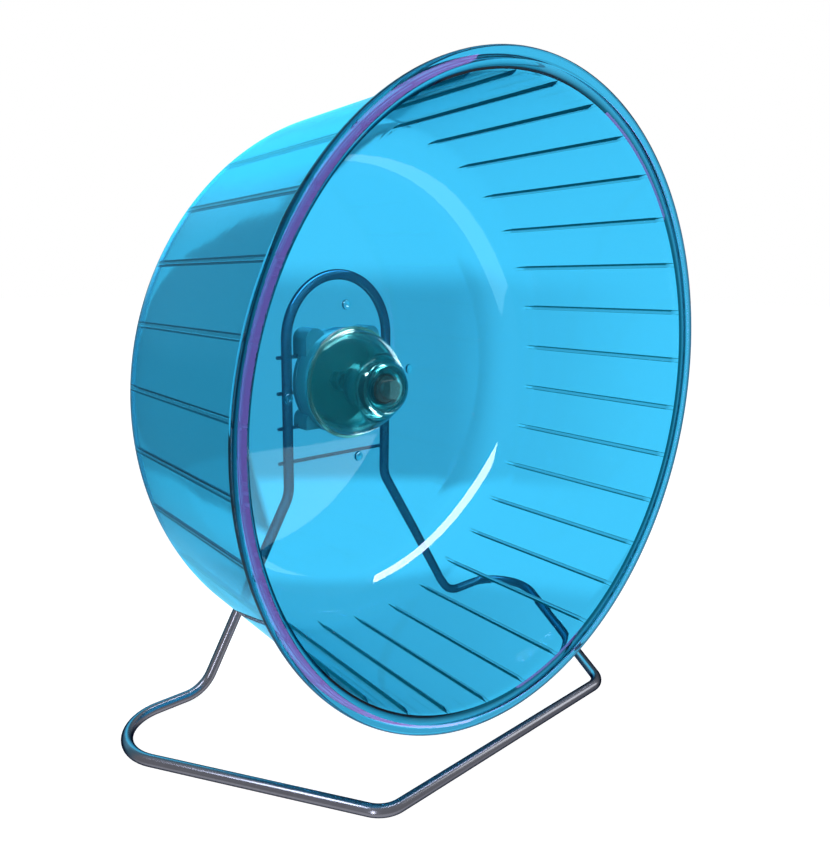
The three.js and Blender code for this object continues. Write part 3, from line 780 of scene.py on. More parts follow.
def refine(path, longest):
    """Adds points to the straight stretches, so that the sweep has even quads."""
    dense = []
    for i, point in enumerate(path):
        after = path[(i + 1) % len(path)]
        pieces = max(1, math.ceil((after - point).length / longest))
        dense += [point.lerp(after, k / pieces) for k in range(pieces)]
    return dense


print("path of the wire:", len(stand_path()), "points")

# %% Sweep the wire
WIRE_SIDES, WIRE_STEP = 28, 0.009


def sweep_loop(name, path, radius, sides):
    """A round wire along a closed path. The last ring joins the first at the nearest point."""
    count = len(path)
    tangents = [(path[(i + 1) % count] - path[i - 1]).normalized() for i in range(count)]
    side = tangents[0].orthogonal().normalized()
    points = []
    for i in range(count):
        side = (side - tangents[i] * side.dot(tangents[i])).normalized()
        up = tangents[i].cross(side)
        for k in range(sides):
            turn = 2 * math.pi * k / sides
            points.append(path[i] + (side * math.cos(turn) + up * math.sin(turn)) * radius)
    side = (side - tangents[0] * side.dot(tangents[0])).normalized()
    first = (points[0] - path[0]).normalized()
    start_angle = math.atan2(side.dot(tangents[0].cross(first)), side.dot(first))
    shift = round(start_angle / (2 * math.pi / sides))
    faces = ring_faces(count, sides)
    last = (count - 1) * sides
    for k in range(sides):
        a, b = last + k, last + (k + 1) % sides
        c, d = (k - shift) % sides, (k + 1 - shift) % sides
        faces.append((a, b, d, c))
    return new_piece(name, points, faces, smooth_angle=60)


stand = sweep_loop("stand_wire_loop", refine(stand_path(), WIRE_STEP), WIRE_RADIUS * MM, WIRE_SIDES)
print("stand wire:", len(stand.data.vertices), "points")

# %% [markdown]
# Four thin wires are welded across the back of the legs. A resistance weld leaves a small swelling
# where the thin wire has sunk into the thick one. So each cross wire is a rod with rounded
# ends, and a flattened bead sits at each leg.

# %% Cross wires with their welds
CROSS_WIRES, CROSS_RADIUS, CROSS_SIDES = range(1, 5), 1.0, 20
WELD_SIZE = (1.9, 0.9, 1.5)


def rod_outline(length, radius, steps=5):
    """(distance, radius) pairs of a rod with rounded ends."""
    end = [(length - radius * (1 - math.sin(a)), radius * math.cos(a))
           for a in (math.pi / 2 * i / steps for i in range(steps + 1))]
    return [(-x, r) for x, r in reversed(end)] + end


def build_cross_wire(number):
    """A round rod with rounded ends in the place of a CAD cross wire."""
    lo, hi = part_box(f"cross_wire_{number}")
    centre = (lo + hi) / 2
    outline = rod_outline((hi.x - lo.x) / 2 / MM, CROSS_RADIUS)
    points = []
    for x, r in outline:
        for k in range(CROSS_SIDES):
            turn = 2 * math.pi * k / CROSS_SIDES
            points.append(centre + Vector((x, r * math.cos(turn), r * math.sin(turn))) * MM)
    faces = ring_faces(len(outline), CROSS_SIDES)
    return new_piece(f"cross_rod_{number}", points, faces, smooth_angle=60)


def build_weld(number, side):
    """A flattened bead between a leg and a cross wire."""
    lo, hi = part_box(f"cross_wire_{number}")
    cross = (lo + hi) / 2
    leg_back = rim_front + (LEG_DEPTH + WIRE_RADIUS) * MM
    centre = Vector((side * LEG_X * MM, (cross.y - CROSS_RADIUS * MM + leg_back) / 2, cross.z))
    work = bmesh.new()
    bmesh.ops.create_icosphere(work, subdivisions=3, radius=1)
    for vertex in work.verts:
        vertex.co = centre + Vector(a * b * MM for a, b in zip(vertex.co, WELD_SIZE))
    mesh = bpy.data.meshes.new(f"weld_{number}_{'left' if side < 0 else 'right'}")
    work.to_mesh(mesh)
    work.free()
    for face in mesh.polygons:
        face.use_smooth = True
    piece = bpy.data.objects.new(mesh.name, mesh)
    bpy.context.scene.collection.objects.link(piece)
    return piece


cross_rods = [build_cross_wire(n) for n in CROSS_WIRES]
welds = [build_weld(n, side) for n in CROSS_WIRES for side in (-1, 1)]
print("cross wires:", len(cross_rods), "with", len(welds), "welds")

# %% [markdown]
# Drawn wire carries faint lines along its length. For those, each point of a wire remembers how far
# along it lies and where it sits round the section. The steel's noise is read from those
# numbers instead of from the object's own axes, so the lines follow every bend.

# %% Places along a wire
def mark_wire(piece, sides):
    """Stores (distance along, cosine, sine) on each point of a wire made of rings."""
    marks = piece.data.attributes.new("wire_place", "FLOAT_VECTOR", "POINT")
    points = [vertex.co for vertex in piece.data.vertices]
    along = 0
    for i, point in enumerate(points):
        if i >= sides and i % sides == 0:
            along += (point - points[i - sides]).length
        turn = 2 * math.pi * (i % sides) / sides
        marks.data[i].vector = (along, math.cos(turn), math.sin(turn))


mark_wire(stand, WIRE_SIDES)
for rod in cross_rods:
    mark_wire(rod, CROSS_SIDES)
print("marked wires:", 1 + len(cross_rods))

# %% [markdown]
# Every finish needs small faults, or it looks like a drawing. Three effects are shared: hairline
# scratches, a slow wave in the surface that bends reflections, and dust. Each is a node group
# that puts out only masks and heights, so any material can use it with its own values.

# %% Helpers for node groups
def new_group(name, inputs, outputs):
    """An empty node group with float inputs {name: default} and float outputs."""
    group = bpy.data.node_groups.new(name, "ShaderNodeTree")
    for label, default in inputs.items():
        socket = group.interface.new_socket(name=label, in_out="INPUT", socket_type="NodeSocketFloat")
        socket.default_value = default
    for label in outputs:
        group.interface.new_socket(name=label, in_out="OUTPUT", socket_type="NodeSocketFloat")
    return group, group.nodes.new("NodeGroupInput"), group.nodes.new("NodeGroupOutput")


def add_node(tree, kind, links=(), **settings):
    """A node with its settings, and links given as (input name or number, source socket or value)."""
    node = tree.nodes.new(kind)
    for key, value in settings.items():
        setattr(node, key, value)
    for target, source in links:
        if isinstance(source, bpy.types.NodeSocket):
            tree.links.new(source, node.inputs[target])
        else:
            node.inputs[target].default_value = source
    return node


def maths(tree, operation, first, second=0.0):
    """The result of one sum, product or comparison."""
    return add_node(tree, "ShaderNodeMath", [(0, first), (1, second)], operation=operation).outputs[0]


def noise_at(tree, vector, scale, detail=2.0, roughness=0.5):
    """A noise from 0 to 1, read at a place."""
    links = [("Vector", vector), ("Scale", scale), ("Detail", detail), ("Roughness", roughness)]
    return add_node(tree, "ShaderNodeTexNoise", links).outputs[0]


def between(tree, value, low, high, start=0.0, end=1.0, smooth=False):
    """A value that goes from low to high while another goes from start to end."""
    links = [("Value", value), ("From Min", start), ("From Max", end), ("To Min", low), ("To Max", high)]
    kind = "SMOOTHSTEP" if smooth else "LINEAR"
    return add_node(tree, "ShaderNodeMapRange", links, interpolation_type=kind).outputs[0]


# %% Shared effects as node groups
SCRATCH_DIRECTIONS = [((1, 14, 3), 0.4), ((12, 1, 5), 1.2)]
SCRATCH_WIDTH, RIPPLE_RATIO, PATCH_EDGES = 0.012, 6.0, (0.45, 0.75)


def hairlines():
    """Thin crossing scratches: two stretched noises, each kept only where it is nearly even."""
    group, enter, leave = new_group("hairline scratches", {"Size": 60, "Amount": 0.5}, ["Mask"])
    place_at = add_node(group, "ShaderNodeTexCoord").outputs["Object"]
    lines = []
    for stretch, turn in SCRATCH_DIRECTIONS:
        links = [("Vector", place_at), ("Scale", stretch), ("Rotation", (turn, turn, 0))]
        spot = add_node(group, "ShaderNodeMapping", links).outputs[0]
        noise = noise_at(group, spot, enter.outputs["Size"], 3.0)
        away = maths(group, "ABSOLUTE", maths(group, "SUBTRACT", noise, 0.5))
        lines.append(between(group, away, 1.0, 0.0, 0.0, SCRATCH_WIDTH))
    both = maths(group, "MAXIMUM", lines[0], lines[1])
    group.links.new(maths(group, "MULTIPLY", both, enter.outputs["Amount"]), leave.inputs["Mask"])
    return group


def slow_wave():
    """A broad swell of a cooled moulding, with a finer ripple on it."""
    group, enter, leave = new_group("slow wave", {"Size": 9, "Ripple": 0.15}, ["Height"])
    place_at = add_node(group, "ShaderNodeTexCoord").outputs["Object"]
    broad = noise_at(group, place_at, enter.outputs["Size"], 1.0)
    fine = noise_at(group, place_at, maths(group, "MULTIPLY", enter.outputs["Size"], RIPPLE_RATIO))
    share = maths(group, "MULTIPLY", fine, enter.outputs["Ripple"])
    group.links.new(maths(group, "ADD", broad, share), leave.inputs["Height"])
    return group


def dusting():
    """Soft patches of dust and finger haze."""
    group, enter, leave = new_group("dusting", {"Size": 25, "Amount": 0.3}, ["Mask"])
    place_at = add_node(group, "ShaderNodeTexCoord").outputs["Object"]
    noise = noise_at(group, place_at, enter.outputs["Size"], 6.0, 0.7)
    patch = between(group, noise, 0.0, 1.0, *PATCH_EDGES)
    group.links.new(maths(group, "MULTIPLY", patch, enter.outputs["Amount"]), leave.inputs["Mask"])
    return group


HAIRLINES, SLOW_WAVE, DUSTING = hairlines(), slow_wave(), dusting()
print("effects:", [g.name for g in (HAIRLINES, SLOW_WAVE, DUSTING)])

# %% [markdown]
# A dyed plastic takes out the red at its first wall, and light that is already blue passes the next
# wall nearly unchanged. Three colour channels can't show that by themselves, so the clear
# material counts the surfaces that a ray has crossed, and tints the first wall more than the later ones.

# %% Material helpers
def new_material(name):
    """A material with one Principled surface, and its node tree."""
    made = bpy.data.materials.new(name)
    made.use_nodes = True
    tree = made.node_tree
    tree.nodes.clear()
    surface = tree.nodes.new("ShaderNodeBsdfPrincipled")
    result = add_node(tree, "ShaderNodeOutputMaterial", name="Result")
    tree.links.new(surface.outputs[0], result.inputs["Surface"])
    return made, tree, surface


def effect(tree, group, **values):
    """A shared effect, placed in a material with its own values."""
    node = tree.nodes.new("ShaderNodeGroup")
    node.node_tree = group
    for label, value in values.items():
        node.inputs[label].default_value = value
    return node.outputs[0]


def mix_colours(tree, factor, first, second):
    """A colour between two, by a mask."""
    node = add_node(tree, "ShaderNodeMix", data_type="RGBA")
    tree.links.new(factor, node.inputs["Factor"])
    for socket, colour in ((node.inputs[6], first), (node.inputs[7], second)):
        if isinstance(colour, bpy.types.NodeSocket):
            tree.links.new(colour, socket)
        else:
            socket.default_value = (*colour, 1)
    return node.outputs[2]


def raised(tree, height, strength, distance):
    """A bump from a height."""
    links = [("Height", height), ("Strength", strength), ("Distance", distance)]
    return add_node(tree, "ShaderNodeBump", links).outputs[0]


def mix_shaders(tree, factor, first, second):
    """A shader between two, by a factor."""
    links = [(0, factor), (1, first), (2, second)]
    return add_node(tree, "ShaderNodeMixShader", links).outputs[0]


def pale_shadow(tree, surface, tint):
    """Lets light through to what lies behind, as a clear plastic's coloured shadow."""
    shadow = tree.nodes.new("ShaderNodeLightPath").outputs["Is Shadow Ray"]
    clear = add_node(tree, "ShaderNodeBsdfTransparent", [("Color", (*tint, 1))])
    mixed = mix_shaders(tree, shadow, surface.outputs[0], clear.outputs[0])
    tree.links.new(mixed, tree.nodes["Result"].inputs["Surface"])


# %% Clear blue plastic
WALL_TINT = (0.052, 0.56, 0.95)
DEEP_TINT_AND_SHADE = (0.0, 0.018, 0.035)
LATER_TINT = (0.60, 0.91, 0.93)
LATER_DEEP_TINT_AND_SHADE = (0.10, 0.35, 0.45)
SHADOW_TINT = (0.72, 0.93, 0.98)
GLOSS_TINT = (0.25, 0.75, 1.0)
SECOND_WALL_FROM = 1.5
CLEAR, PLASTIC_IOR = 0.97, 1.5


def clear_blue():
    made, tree, surface = new_material("clear_blue_plastic")
    deep = add_node(tree, "ShaderNodeAttribute", attribute_name="deep_tint_and_shade").outputs["Fac"]
    crossed = tree.nodes.new("ShaderNodeLightPath").outputs["Transmission Depth"]
    later = maths(tree, "GREATER_THAN", crossed, SECOND_WALL_FROM)
    haze = effect(tree, DUSTING, Size=30, Amount=0.35)
    scuffs = effect(tree, HAIRLINES, Size=45, Amount=0.6)
    # The deep tint darkens thick plastic, and on the rim's bevel it is painted shade for the dark band that
    # refraction gives there.
    first_wall = mix_colours(tree, deep, WALL_TINT, DEEP_TINT_AND_SHADE)
    next_walls = mix_colours(tree, deep, LATER_TINT, LATER_DEEP_TINT_AND_SHADE)
    marks = maths(tree, "ADD", haze, scuffs)
    tree.links.new(mix_colours(tree, later, first_wall, next_walls), surface.inputs["Base Color"])
    tree.links.new(between(tree, marks, 0.02, 0.10), surface.inputs["Roughness"])
    surface.inputs["Transmission Weight"].default_value = CLEAR
    surface.inputs["IOR"].default_value = PLASTIC_IOR
    surface.inputs["Specular Tint"].default_value = (*GLOSS_TINT, 1)
    wave = effect(tree, SLOW_WAVE, Size=11, Ripple=0.05)
    tree.links.new(raised(tree, wave, strength=0.3, distance=0.001), surface.inputs["Normal"])
    pale_shadow(tree, surface, SHADOW_TINT)
    return made


# %% [markdown]
# Seen edge on, a rib of dyed plastic looks nearly black, because the light runs along inside it and
# is turned back at its faces. An absorbing volume would show part of that by itself, but it is slow
# and noisy. So the flanks have a darker colour of their own, partly painted shade, and let less light through.

# %% Dark blue of the ribs' flanks, partly painted shade
FLANK_SHADE_TINT, FLANK_HAZE, FLANK_CLEAR = (0.004, 0.19, 0.26), (0.01, 0.25, 0.33), 0.35


def flank_blue():
    made, tree, surface = new_material("rib_flank_plastic")
    haze = effect(tree, DUSTING, Size=160, Amount=0.5)
    scuffs = effect(tree, HAIRLINES, Size=90, Amount=0.7)
    # The flanks' dark tone is partly painted shade, with dust mixed over it.
    tone = mix_colours(tree, haze, FLANK_SHADE_TINT, FLANK_HAZE)
    tree.links.new(tone, surface.inputs["Base Color"])
    tree.links.new(between(tree, scuffs, 0.14, 0.3), surface.inputs["Roughness"])
    surface.inputs["Transmission Weight"].default_value = FLANK_CLEAR
    surface.inputs["IOR"].default_value = PLASTIC_IOR
    surface.inputs["Specular Tint"].default_value = (*GLOSS_TINT, 1)
    tree.links.new(raised(tree, haze, strength=0.2, distance=0.0002), surface.inputs["Normal"])
    pale_shadow(tree, surface, SHADOW_TINT)
    return made


# %% [markdown]
# The hub is moulded in a smoky plastic, which is clear in a thin wall and nearly solid in a thick
# one. One function makes both: the bell, the cap and the cone get a clear version of it, and the
# skirt and the mount plate a dark one.

# %% Smoky plastic of the hub
def smoke_plastic(name, tint, hazy_tint, transmission, shadow_tint):
    """Smoke-coloured plastic. The more of the light it transmits, the clearer it looks."""
    made, tree, surface = new_material(name)
    haze = effect(tree, DUSTING, Size=90, Amount=0.5)
    scuffs = effect(tree, HAIRLINES, Size=120, Amount=0.5)
    tree.links.new(mix_colours(tree, haze, tint, hazy_tint), surface.inputs["Base Color"])
    tree.links.new(between(tree, scuffs, 0.05, 0.2), surface.inputs["Roughness"])
    surface.inputs["Transmission Weight"].default_value = transmission
    surface.inputs["IOR"].default_value = PLASTIC_IOR
    wave = effect(tree, SLOW_WAVE, Size=60, Ripple=0.1)
    tree.links.new(raised(tree, wave, strength=0.15, distance=0.0006), surface.inputs["Normal"])
    pale_shadow(tree, surface, shadow_tint)
    return made


# %% [markdown]
# The stand is bright drawn wire. Polished metal has little colour of its own and shows what is round
# it, and a round wire shows the darkest of it along its edges. White surroundings can't give that,
# so a dark reflection is painted into the colour, stronger where the wire is seen at a slant. Fine lines follow
# the wire.

# %% Steel wire
STEEL_DARK, STEEL_PALE, STEEL_DUST = (0.44, 0.46, 0.51), (0.66, 0.68, 0.75), (0.42, 0.41, 0.43)
STEEL_PAINTED_EDGE_REFLECTION, STEEL_EDGE_GLOSS = (0.05, 0.08, 0.12), (0.08, 0.12, 0.2)
EDGE_SLANT, EDGE_PAINTED_REFLECTION = (0.3, 0.7), 0.88
LINE_STRETCH = (6, 5, 5)


def drawn_steel():
    made, tree, surface = new_material("drawn_steel_wire")
    spot = add_node(tree, "ShaderNodeAttribute", attribute_name="wire_place").outputs["Vector"]
    along = add_node(tree, "ShaderNodeMapping", [("Vector", spot), ("Scale", LINE_STRETCH)]).outputs[0]
    lines = noise_at(tree, along, 3.0, 5.0)
    dust = effect(tree, DUSTING, Size=60, Amount=0.4)
    tone = mix_colours(tree, lines, STEEL_DARK, STEEL_PALE)
    tone = mix_colours(tree, dust, tone, STEEL_DUST)
    # Painted reflection: the colour turns dark blue towards the wire's edges, for the dark surroundings they would
    # mirror.
    slant = tree.nodes.new("ShaderNodeLayerWeight").outputs["Facing"]
    edge = between(tree, slant, 0.0, EDGE_PAINTED_REFLECTION, *EDGE_SLANT, smooth=True)
    tree.links.new(mix_colours(tree, edge, tone, STEEL_PAINTED_EDGE_REFLECTION), surface.inputs["Base Color"])
    surface.inputs["Metallic"].default_value = 1
    surface.inputs["Specular Tint"].default_value = (*STEEL_EDGE_GLOSS, 1)
    tree.links.new(between(tree, lines, 0.14, 0.27), surface.inputs["Roughness"])
    tree.links.new(raised(tree, lines, strength=0.12, distance=0.0002), surface.inputs["Normal"])
    return made


# %% [markdown]
# Bolt, washers and nuts are turned or zinc-plated steel, and the clamp plate and the bushes are grey
# nylon. They are small and mostly hidden, so a plain surface with scuffs and dust is enough.

# %% Turned steel, zinc and nylon of the fastenings
SCUFFING = 0.2
NYLON_TONE, NYLON_DUST = (0.035, 0.04, 0.045), (0.11, 0.12, 0.125)


def fastening_metal(name, dark, light, roughness):
    """A plain machined or plated metal, darker where dust lies and duller along its scuffs."""
    made, tree, surface = new_material(name)
    scuffs = effect(tree, HAIRLINES, Size=260, Amount=0.8)
    dust = effect(tree, DUSTING, Size=140, Amount=0.6)
    tree.links.new(mix_colours(tree, dust, light, dark), surface.inputs["Base Color"])
    surface.inputs["Metallic"].default_value = 1
    tree.links.new(between(tree, scuffs, roughness, roughness + SCUFFING), surface.inputs["Roughness"])
    tree.links.new(raised(tree, scuffs, strength=0.2, distance=0.0001), surface.inputs["Normal"])
    return made


def nylon():
    made, tree, surface = new_material("grey_nylon")
    grain = effect(tree, SLOW_WAVE, Size=900, Ripple=0.8)
    dust = effect(tree, DUSTING, Size=120, Amount=0.6)
    tone = mix_colours(tree, dust, NYLON_TONE, NYLON_DUST)
    tree.links.new(tone, surface.inputs["Base Color"])
    tree.links.new(between(tree, grain, 0.42, 0.6), surface.inputs["Roughness"])
    tree.links.new(raised(tree, grain, strength=0.3, distance=0.0002), surface.inputs["Normal"])
    return made


# %% [markdown]
# The record gives each sub-part a slot, such as steel_wire. A table from slot to finish dresses the
# new pieces and the CAD's own ones alike. Two more are given by name, for the clear pieces of the
# hub and for the flanks of the ribs.

# %% Finishes by slot
FINISHES = {
    "clear_blue_plastic": clear_blue(),
    "smoke_teal_plastic": smoke_plastic(
        "smoke_teal_plastic", (0.16, 0.27, 0.235), (0.20, 0.32, 0.285), 0.25, (0.5, 0.6, 0.6)),
    "steel_wire": drawn_steel(),
    "turned_steel": fastening_metal("turned_steel", (0.28, 0.28, 0.29), (0.52, 0.53, 0.55), 0.22),
    "zinc_steel": fastening_metal("zinc_steel", (0.36, 0.36, 0.35), (0.66, 0.67, 0.68), 0.3),
    "grey_nylon": nylon(),
}
CLEAR_SMOKE = smoke_plastic(
    "clear_smoke_plastic", (0.22, 0.79, 0.86), (0.27, 0.83, 0.89), CLEAR, (0.88, 0.95, 0.95))
FLANK_FINISH = flank_blue()
print("finishes:", sorted(FINISHES))

# %% [markdown]
# Each new piece now gets its finish, rides on the body that carries it and takes the place of the
# CAD node it stands for. The shell and the back have a second finish on the ribs' flanks, and the
# cone on its skirt. The nodes that stay get their finishes through the record's slots.

# %% Dress and mount the pieces
SKIRT_REACH = 0.1


def dress(piece, slot, body, node=None, finish=None, extra=()):
    """Gives a piece its finish, its body and the CAD node that it replaces."""
    piece.data.materials.clear()
    for made in (finish or FINISHES[slot],) + extra:
        piece.data.materials.append(made)
    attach(piece, body)
    if node:
        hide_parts(node)


for part in (shell, back):
    rib_faces = [face.material_index for face in part.data.polygons]
    dress(part, "clear_blue_plastic", "wheel", "drum", extra=(FLANK_FINISH,))
    part.data.polygons.foreach_set("material_index", rib_faces)
dress(rim, "clear_blue_plastic", "wheel", "drum")
dress(nubs, "clear_blue_plastic", "wheel")
dress(bell, "smoke_teal_plastic", "wheel", "hub_bell", CLEAR_SMOKE)
dress(cap, "smoke_teal_plastic", "wheel", "hub_cap", CLEAR_SMOKE)
dress(cone, "smoke_teal_plastic", "stand", "mount_cone", CLEAR_SMOKE, (FINISHES["smoke_teal_plastic"],))
for face in cone.data.polygons:
    face.material_index = int(polar(face.center)[1] > SKIRT_FRONT - SKIRT_REACH)
dress(bolt, "turned_steel", "stand", "axle_bolt")
dress(wing_nut, "zinc_steel", "nut", "wing_nut")
dress(stand, "steel_wire", "stand", "stand_wire")
for number, rod in enumerate(cross_rods, 1):
    dress(rod, "steel_wire", "stand", f"cross_wire_{number}")
for weld in welds:
    dress(weld, "steel_wire", "stand")
replaced = {"drum", "hub_bell", "hub_cap", "mount_cone", "axle_bolt", "wing_nut", "stand_wire"}
replaced |= {f"cross_wire_{n}" for n in CROSS_WIRES}
for entry in frame["record"]["subparts"]:
    if entry["node"] not in replaced:
        kept = frame["nodes"][entry["node"]]
        kept.data.materials.clear()
        kept.data.materials.append(FINISHES[entry["material_slot"]])

# %% [markdown]
# The floor is a wide pale disc that glows a little, so that it stays as white as the paper sweep of
# a product photograph, and only a faint shadow shows where the wire rests. Rays that were mirrored
# or went through the plastic don't meet it. They look past it at the world of the next step.

# %% Floor
FLOOR_RADIUS, FLOOR_SIDES = 6, 96
FLOOR_DARK, FLOOR_PALE = (0.34, 0.34, 0.35), (0.38, 0.38, 0.38)
FLOOR_GLOW, FLOOR_GLOW_SEEN = 0.15, 0.98


def build_floor():
    """A disc that lights the scene a little, and looks nearly white to the camera."""
    work = bmesh.new()
    bmesh.ops.create_circle(work, cap_ends=True, segments=FLOOR_SIDES, radius=FLOOR_RADIUS)
    mesh = bpy.data.meshes.new("pale_floor")
    work.to_mesh(mesh)
    work.free()
    made = bpy.data.objects.new("pale_floor", mesh)
    bpy.context.scene.collection.objects.link(made)
    finish, tree, surface = new_material("pale_floor")
    grain = effect(tree, SLOW_WAVE, Size=3, Ripple=0.4)
    tree.links.new(mix_colours(tree, grain, FLOOR_DARK, FLOOR_PALE), surface.inputs["Base Color"])
    surface.inputs["Roughness"].default_value = 0.8
    surface.inputs["Specular IOR Level"].default_value = 0.1
    surface.inputs["Emission Color"].default_value = (1, 1, 1, 1)
    seen = tree.nodes.new("ShaderNodeLightPath").outputs["Is Camera Ray"]
    tree.links.new(between(tree, seen, FLOOR_GLOW, FLOOR_GLOW_SEEN), surface.inputs["Emission Strength"])
    mesh.materials.append(finish)
    made.visible_transmission = False
    made.visible_glossy = False
    return made


floor = build_floor()
print("floor:", FLOOR_RADIUS, "m wide each way")

# %% [markdown]
# Clear plastic looks like whatever stands behind it, so the world has three faces. Where the camera
# sees it directly, it is plain white. A straight look through the plastic meets soft greys: bright
# above, darker behind the hub and at the far left, and dimmer low down. Light that was mirrored
# or scattered on its way finds a dim blue studio, so that each part can be tuned alone.

# %% Soft edges between shades
def times(tree, *factors):
    """The product of values."""
    product = factors[0]
    for factor in factors[1:]:
        product = maths(tree, "MULTIPLY", product, factor)
    return product


def rise(tree, value, edge, smooth=True):
    """0 before an edge, which is given by its start and end, and 1 after it."""
    return between(tree, value, 0.0, 1.0, *edge, smooth)


def fall(tree, value, edge, smooth=True):
    """1 before an edge and 0 after it."""
    return between(tree, value, 1.0, 0.0, *edge, smooth)


# %% Shades seen through the plastic
AHEAD, ASIDE, LEAST_AHEAD = (0.646, 0.763, 0), (0.763, -0.646, 0), 0.05
BRIGHTEST = 1.13
BACKDROP_BOTTOM, BACKDROP_TOP, BACKDROP_SHADE = (-0.287, -0.267), (-0.03, 0.02), 0.40
BACKDROP_FADES = [(0.55, 0.10, 0.19), (0.45, 0.19, 0.42)]
SIDE_EDGE, SIDE_MIDDLE, SIDE_CURVE = -0.175, -0.19, 1.2
SIDE_TOP, SIDE_TOP_TILT = (0.1206, 0.1286), 0.3
SIDE_BOTTOM, SIDE_BOTTOM_TILT = (-0.418, -0.406), -0.43
SIDE_END, SIDE_CORNER, SIDE_DEEPENING = (-0.004, 0.004), (-0.049, -0.041), (-0.02, -0.006)
SIDE_SHADE, CORNER_SHADE = 0.56, 0.72
LOW_EDGE, LOW_SHADE, LOW_RIGHT, LOW_FADE = (-0.425, -0.395), 0.30, 0.6, (0.1, 0.4)


def reach_along(tree, direction, axis):
    """How far a direction points along an axis."""
    links = [(0, direction), (1, axis)]
    return add_node(tree, "ShaderNodeVectorMath", links, operation="DOT_PRODUCT").outputs["Value"]


def middle_shade(tree, height, aside):
    """A darker field behind the hub, which fades to the right in two steps."""
    fades = [between(tree, aside, share, 0.0, start, end, True) for share, start, end in BACKDROP_FADES]
    field = times(tree, rise(tree, height, BACKDROP_BOTTOM), fall(tree, height, BACKDROP_TOP))
    return times(tree, field, maths(tree, "ADD", *fades), BACKDROP_SHADE)


def side_shade(tree, height, aside):
    """A darker field at the far left, with a curved edge and slanting ends."""
    off_middle = maths(tree, "SUBTRACT", height, SIDE_MIDDLE)
    bulge = times(tree, off_middle, off_middle, SIDE_CURVE)
    past_edge = maths(tree, "SUBTRACT", aside, maths(tree, "ADD", bulge, SIDE_EDGE))
    above = maths(tree, "SUBTRACT", height, times(tree, aside, SIDE_TOP_TILT))
    below = maths(tree, "SUBTRACT", height, times(tree, aside, SIDE_BOTTOM_TILT))
    panel = fall(tree, above, SIDE_TOP, smooth=False)
    corner = rise(tree, past_edge, SIDE_CORNER, smooth=False)
    field = times(tree, maths(tree, "MAXIMUM", panel, corner), rise(tree, below, SIDE_BOTTOM, smooth=False))
    shade = between(tree, past_edge, SIDE_SHADE, CORNER_SHADE, *SIDE_DEEPENING)
    return times(tree, field, fall(tree, past_edge, SIDE_END, smooth=False), shade)


def low_shade(tree, height, aside):
    """A dimmer field low down, less so on the right."""
    fade = between(tree, aside, 1.0, LOW_RIGHT, *LOW_FADE, True)
    return times(tree, fall(tree, height, LOW_EDGE), fade, LOW_SHADE)


def shades_seen_through(tree, direction):
    """Brightness in a direction for a ray that went straight through the plastic."""
    height = add_node(tree, "ShaderNodeSeparateXYZ", [(0, direction)]).outputs["Z"]
    ahead = maths(tree, "MAXIMUM", reach_along(tree, direction, AHEAD), LEAST_AHEAD)
    aside = maths(tree, "DIVIDE", reach_along(tree, direction, ASIDE), ahead)
    far = maths(tree, "MAXIMUM", middle_shade(tree, height, aside), side_shade(tree, height, aside))
    shade = maths(tree, "ADD", far, low_shade(tree, height, aside))
    return times(tree, maths(tree, "SUBTRACT", 1.0, shade), BRIGHTEST)


# %% Light of the studio
BEHIND_Y, BEHIND_X, BEHIND_LOW, BEHIND_HIGH = (0.7, 0.78), (-0.15, 0.2), (-0.5, -0.35), (0.0, 0.2)
BEHIND_LEFT, BEHIND_BELOW, BEHIND_POWER = 0.15, 0.7, 1.5
DOWN_Z, DOWN_Y, FRONT_Y = (-0.55, -0.22), (0.68, 0.82), (0.3, 0.65)
AROUND_POWER, DOWN_POWER = 0.2, 0.4
AROUND_TONE, FRONT_TONE, BEHIND_TONE = (0.35, 0.75, 1), (0.95, 0.93, 1), (0.08, 0.68, 1)
TURNED_TONE, TURNED_POWER, TURNED_SURFACES = (0.20, 0.85, 1), 0.6, 2.5
DIMMED, DIMMED_OVER, MIRRORED_INSIDE = 0.2, (2.0, 3.0), 0.45


def light_behind(tree, heading, path):
    """A blue glow behind the wheel, high up and low down, for every ray that no matt surface sent."""
    back = rise(tree, heading.outputs["Y"], BEHIND_Y)
    right = between(tree, heading.outputs["X"], BEHIND_LEFT, 1.0, *BEHIND_X, True)
    low = between(tree, heading.outputs["Z"], BEHIND_BELOW, 0.0, *BEHIND_LOW, True)
    high = rise(tree, heading.outputs["Z"], BEHIND_HIGH)
    mirrored = maths(tree, "LESS_THAN", path.outputs["Diffuse Depth"], 0.5)
    return times(tree, back, right, mirrored, maths(tree, "MAXIMUM", low, high))


def dimming(tree, path):
    """Less light for rays that crossed several surfaces or were mirrored inside the plastic."""
    crossed = path.outputs["Transmission Depth"]
    inside = maths(tree, "GREATER_THAN", crossed, 0.5)
    mirrored = maths(tree, "SUBTRACT", inside, path.outputs["Is Transmission Ray"])
    deep = between(tree, crossed, 1.0, DIMMED, *DIMMED_OVER)
    return times(tree, deep, between(tree, mirrored, 1.0, MIRRORED_INSIDE))


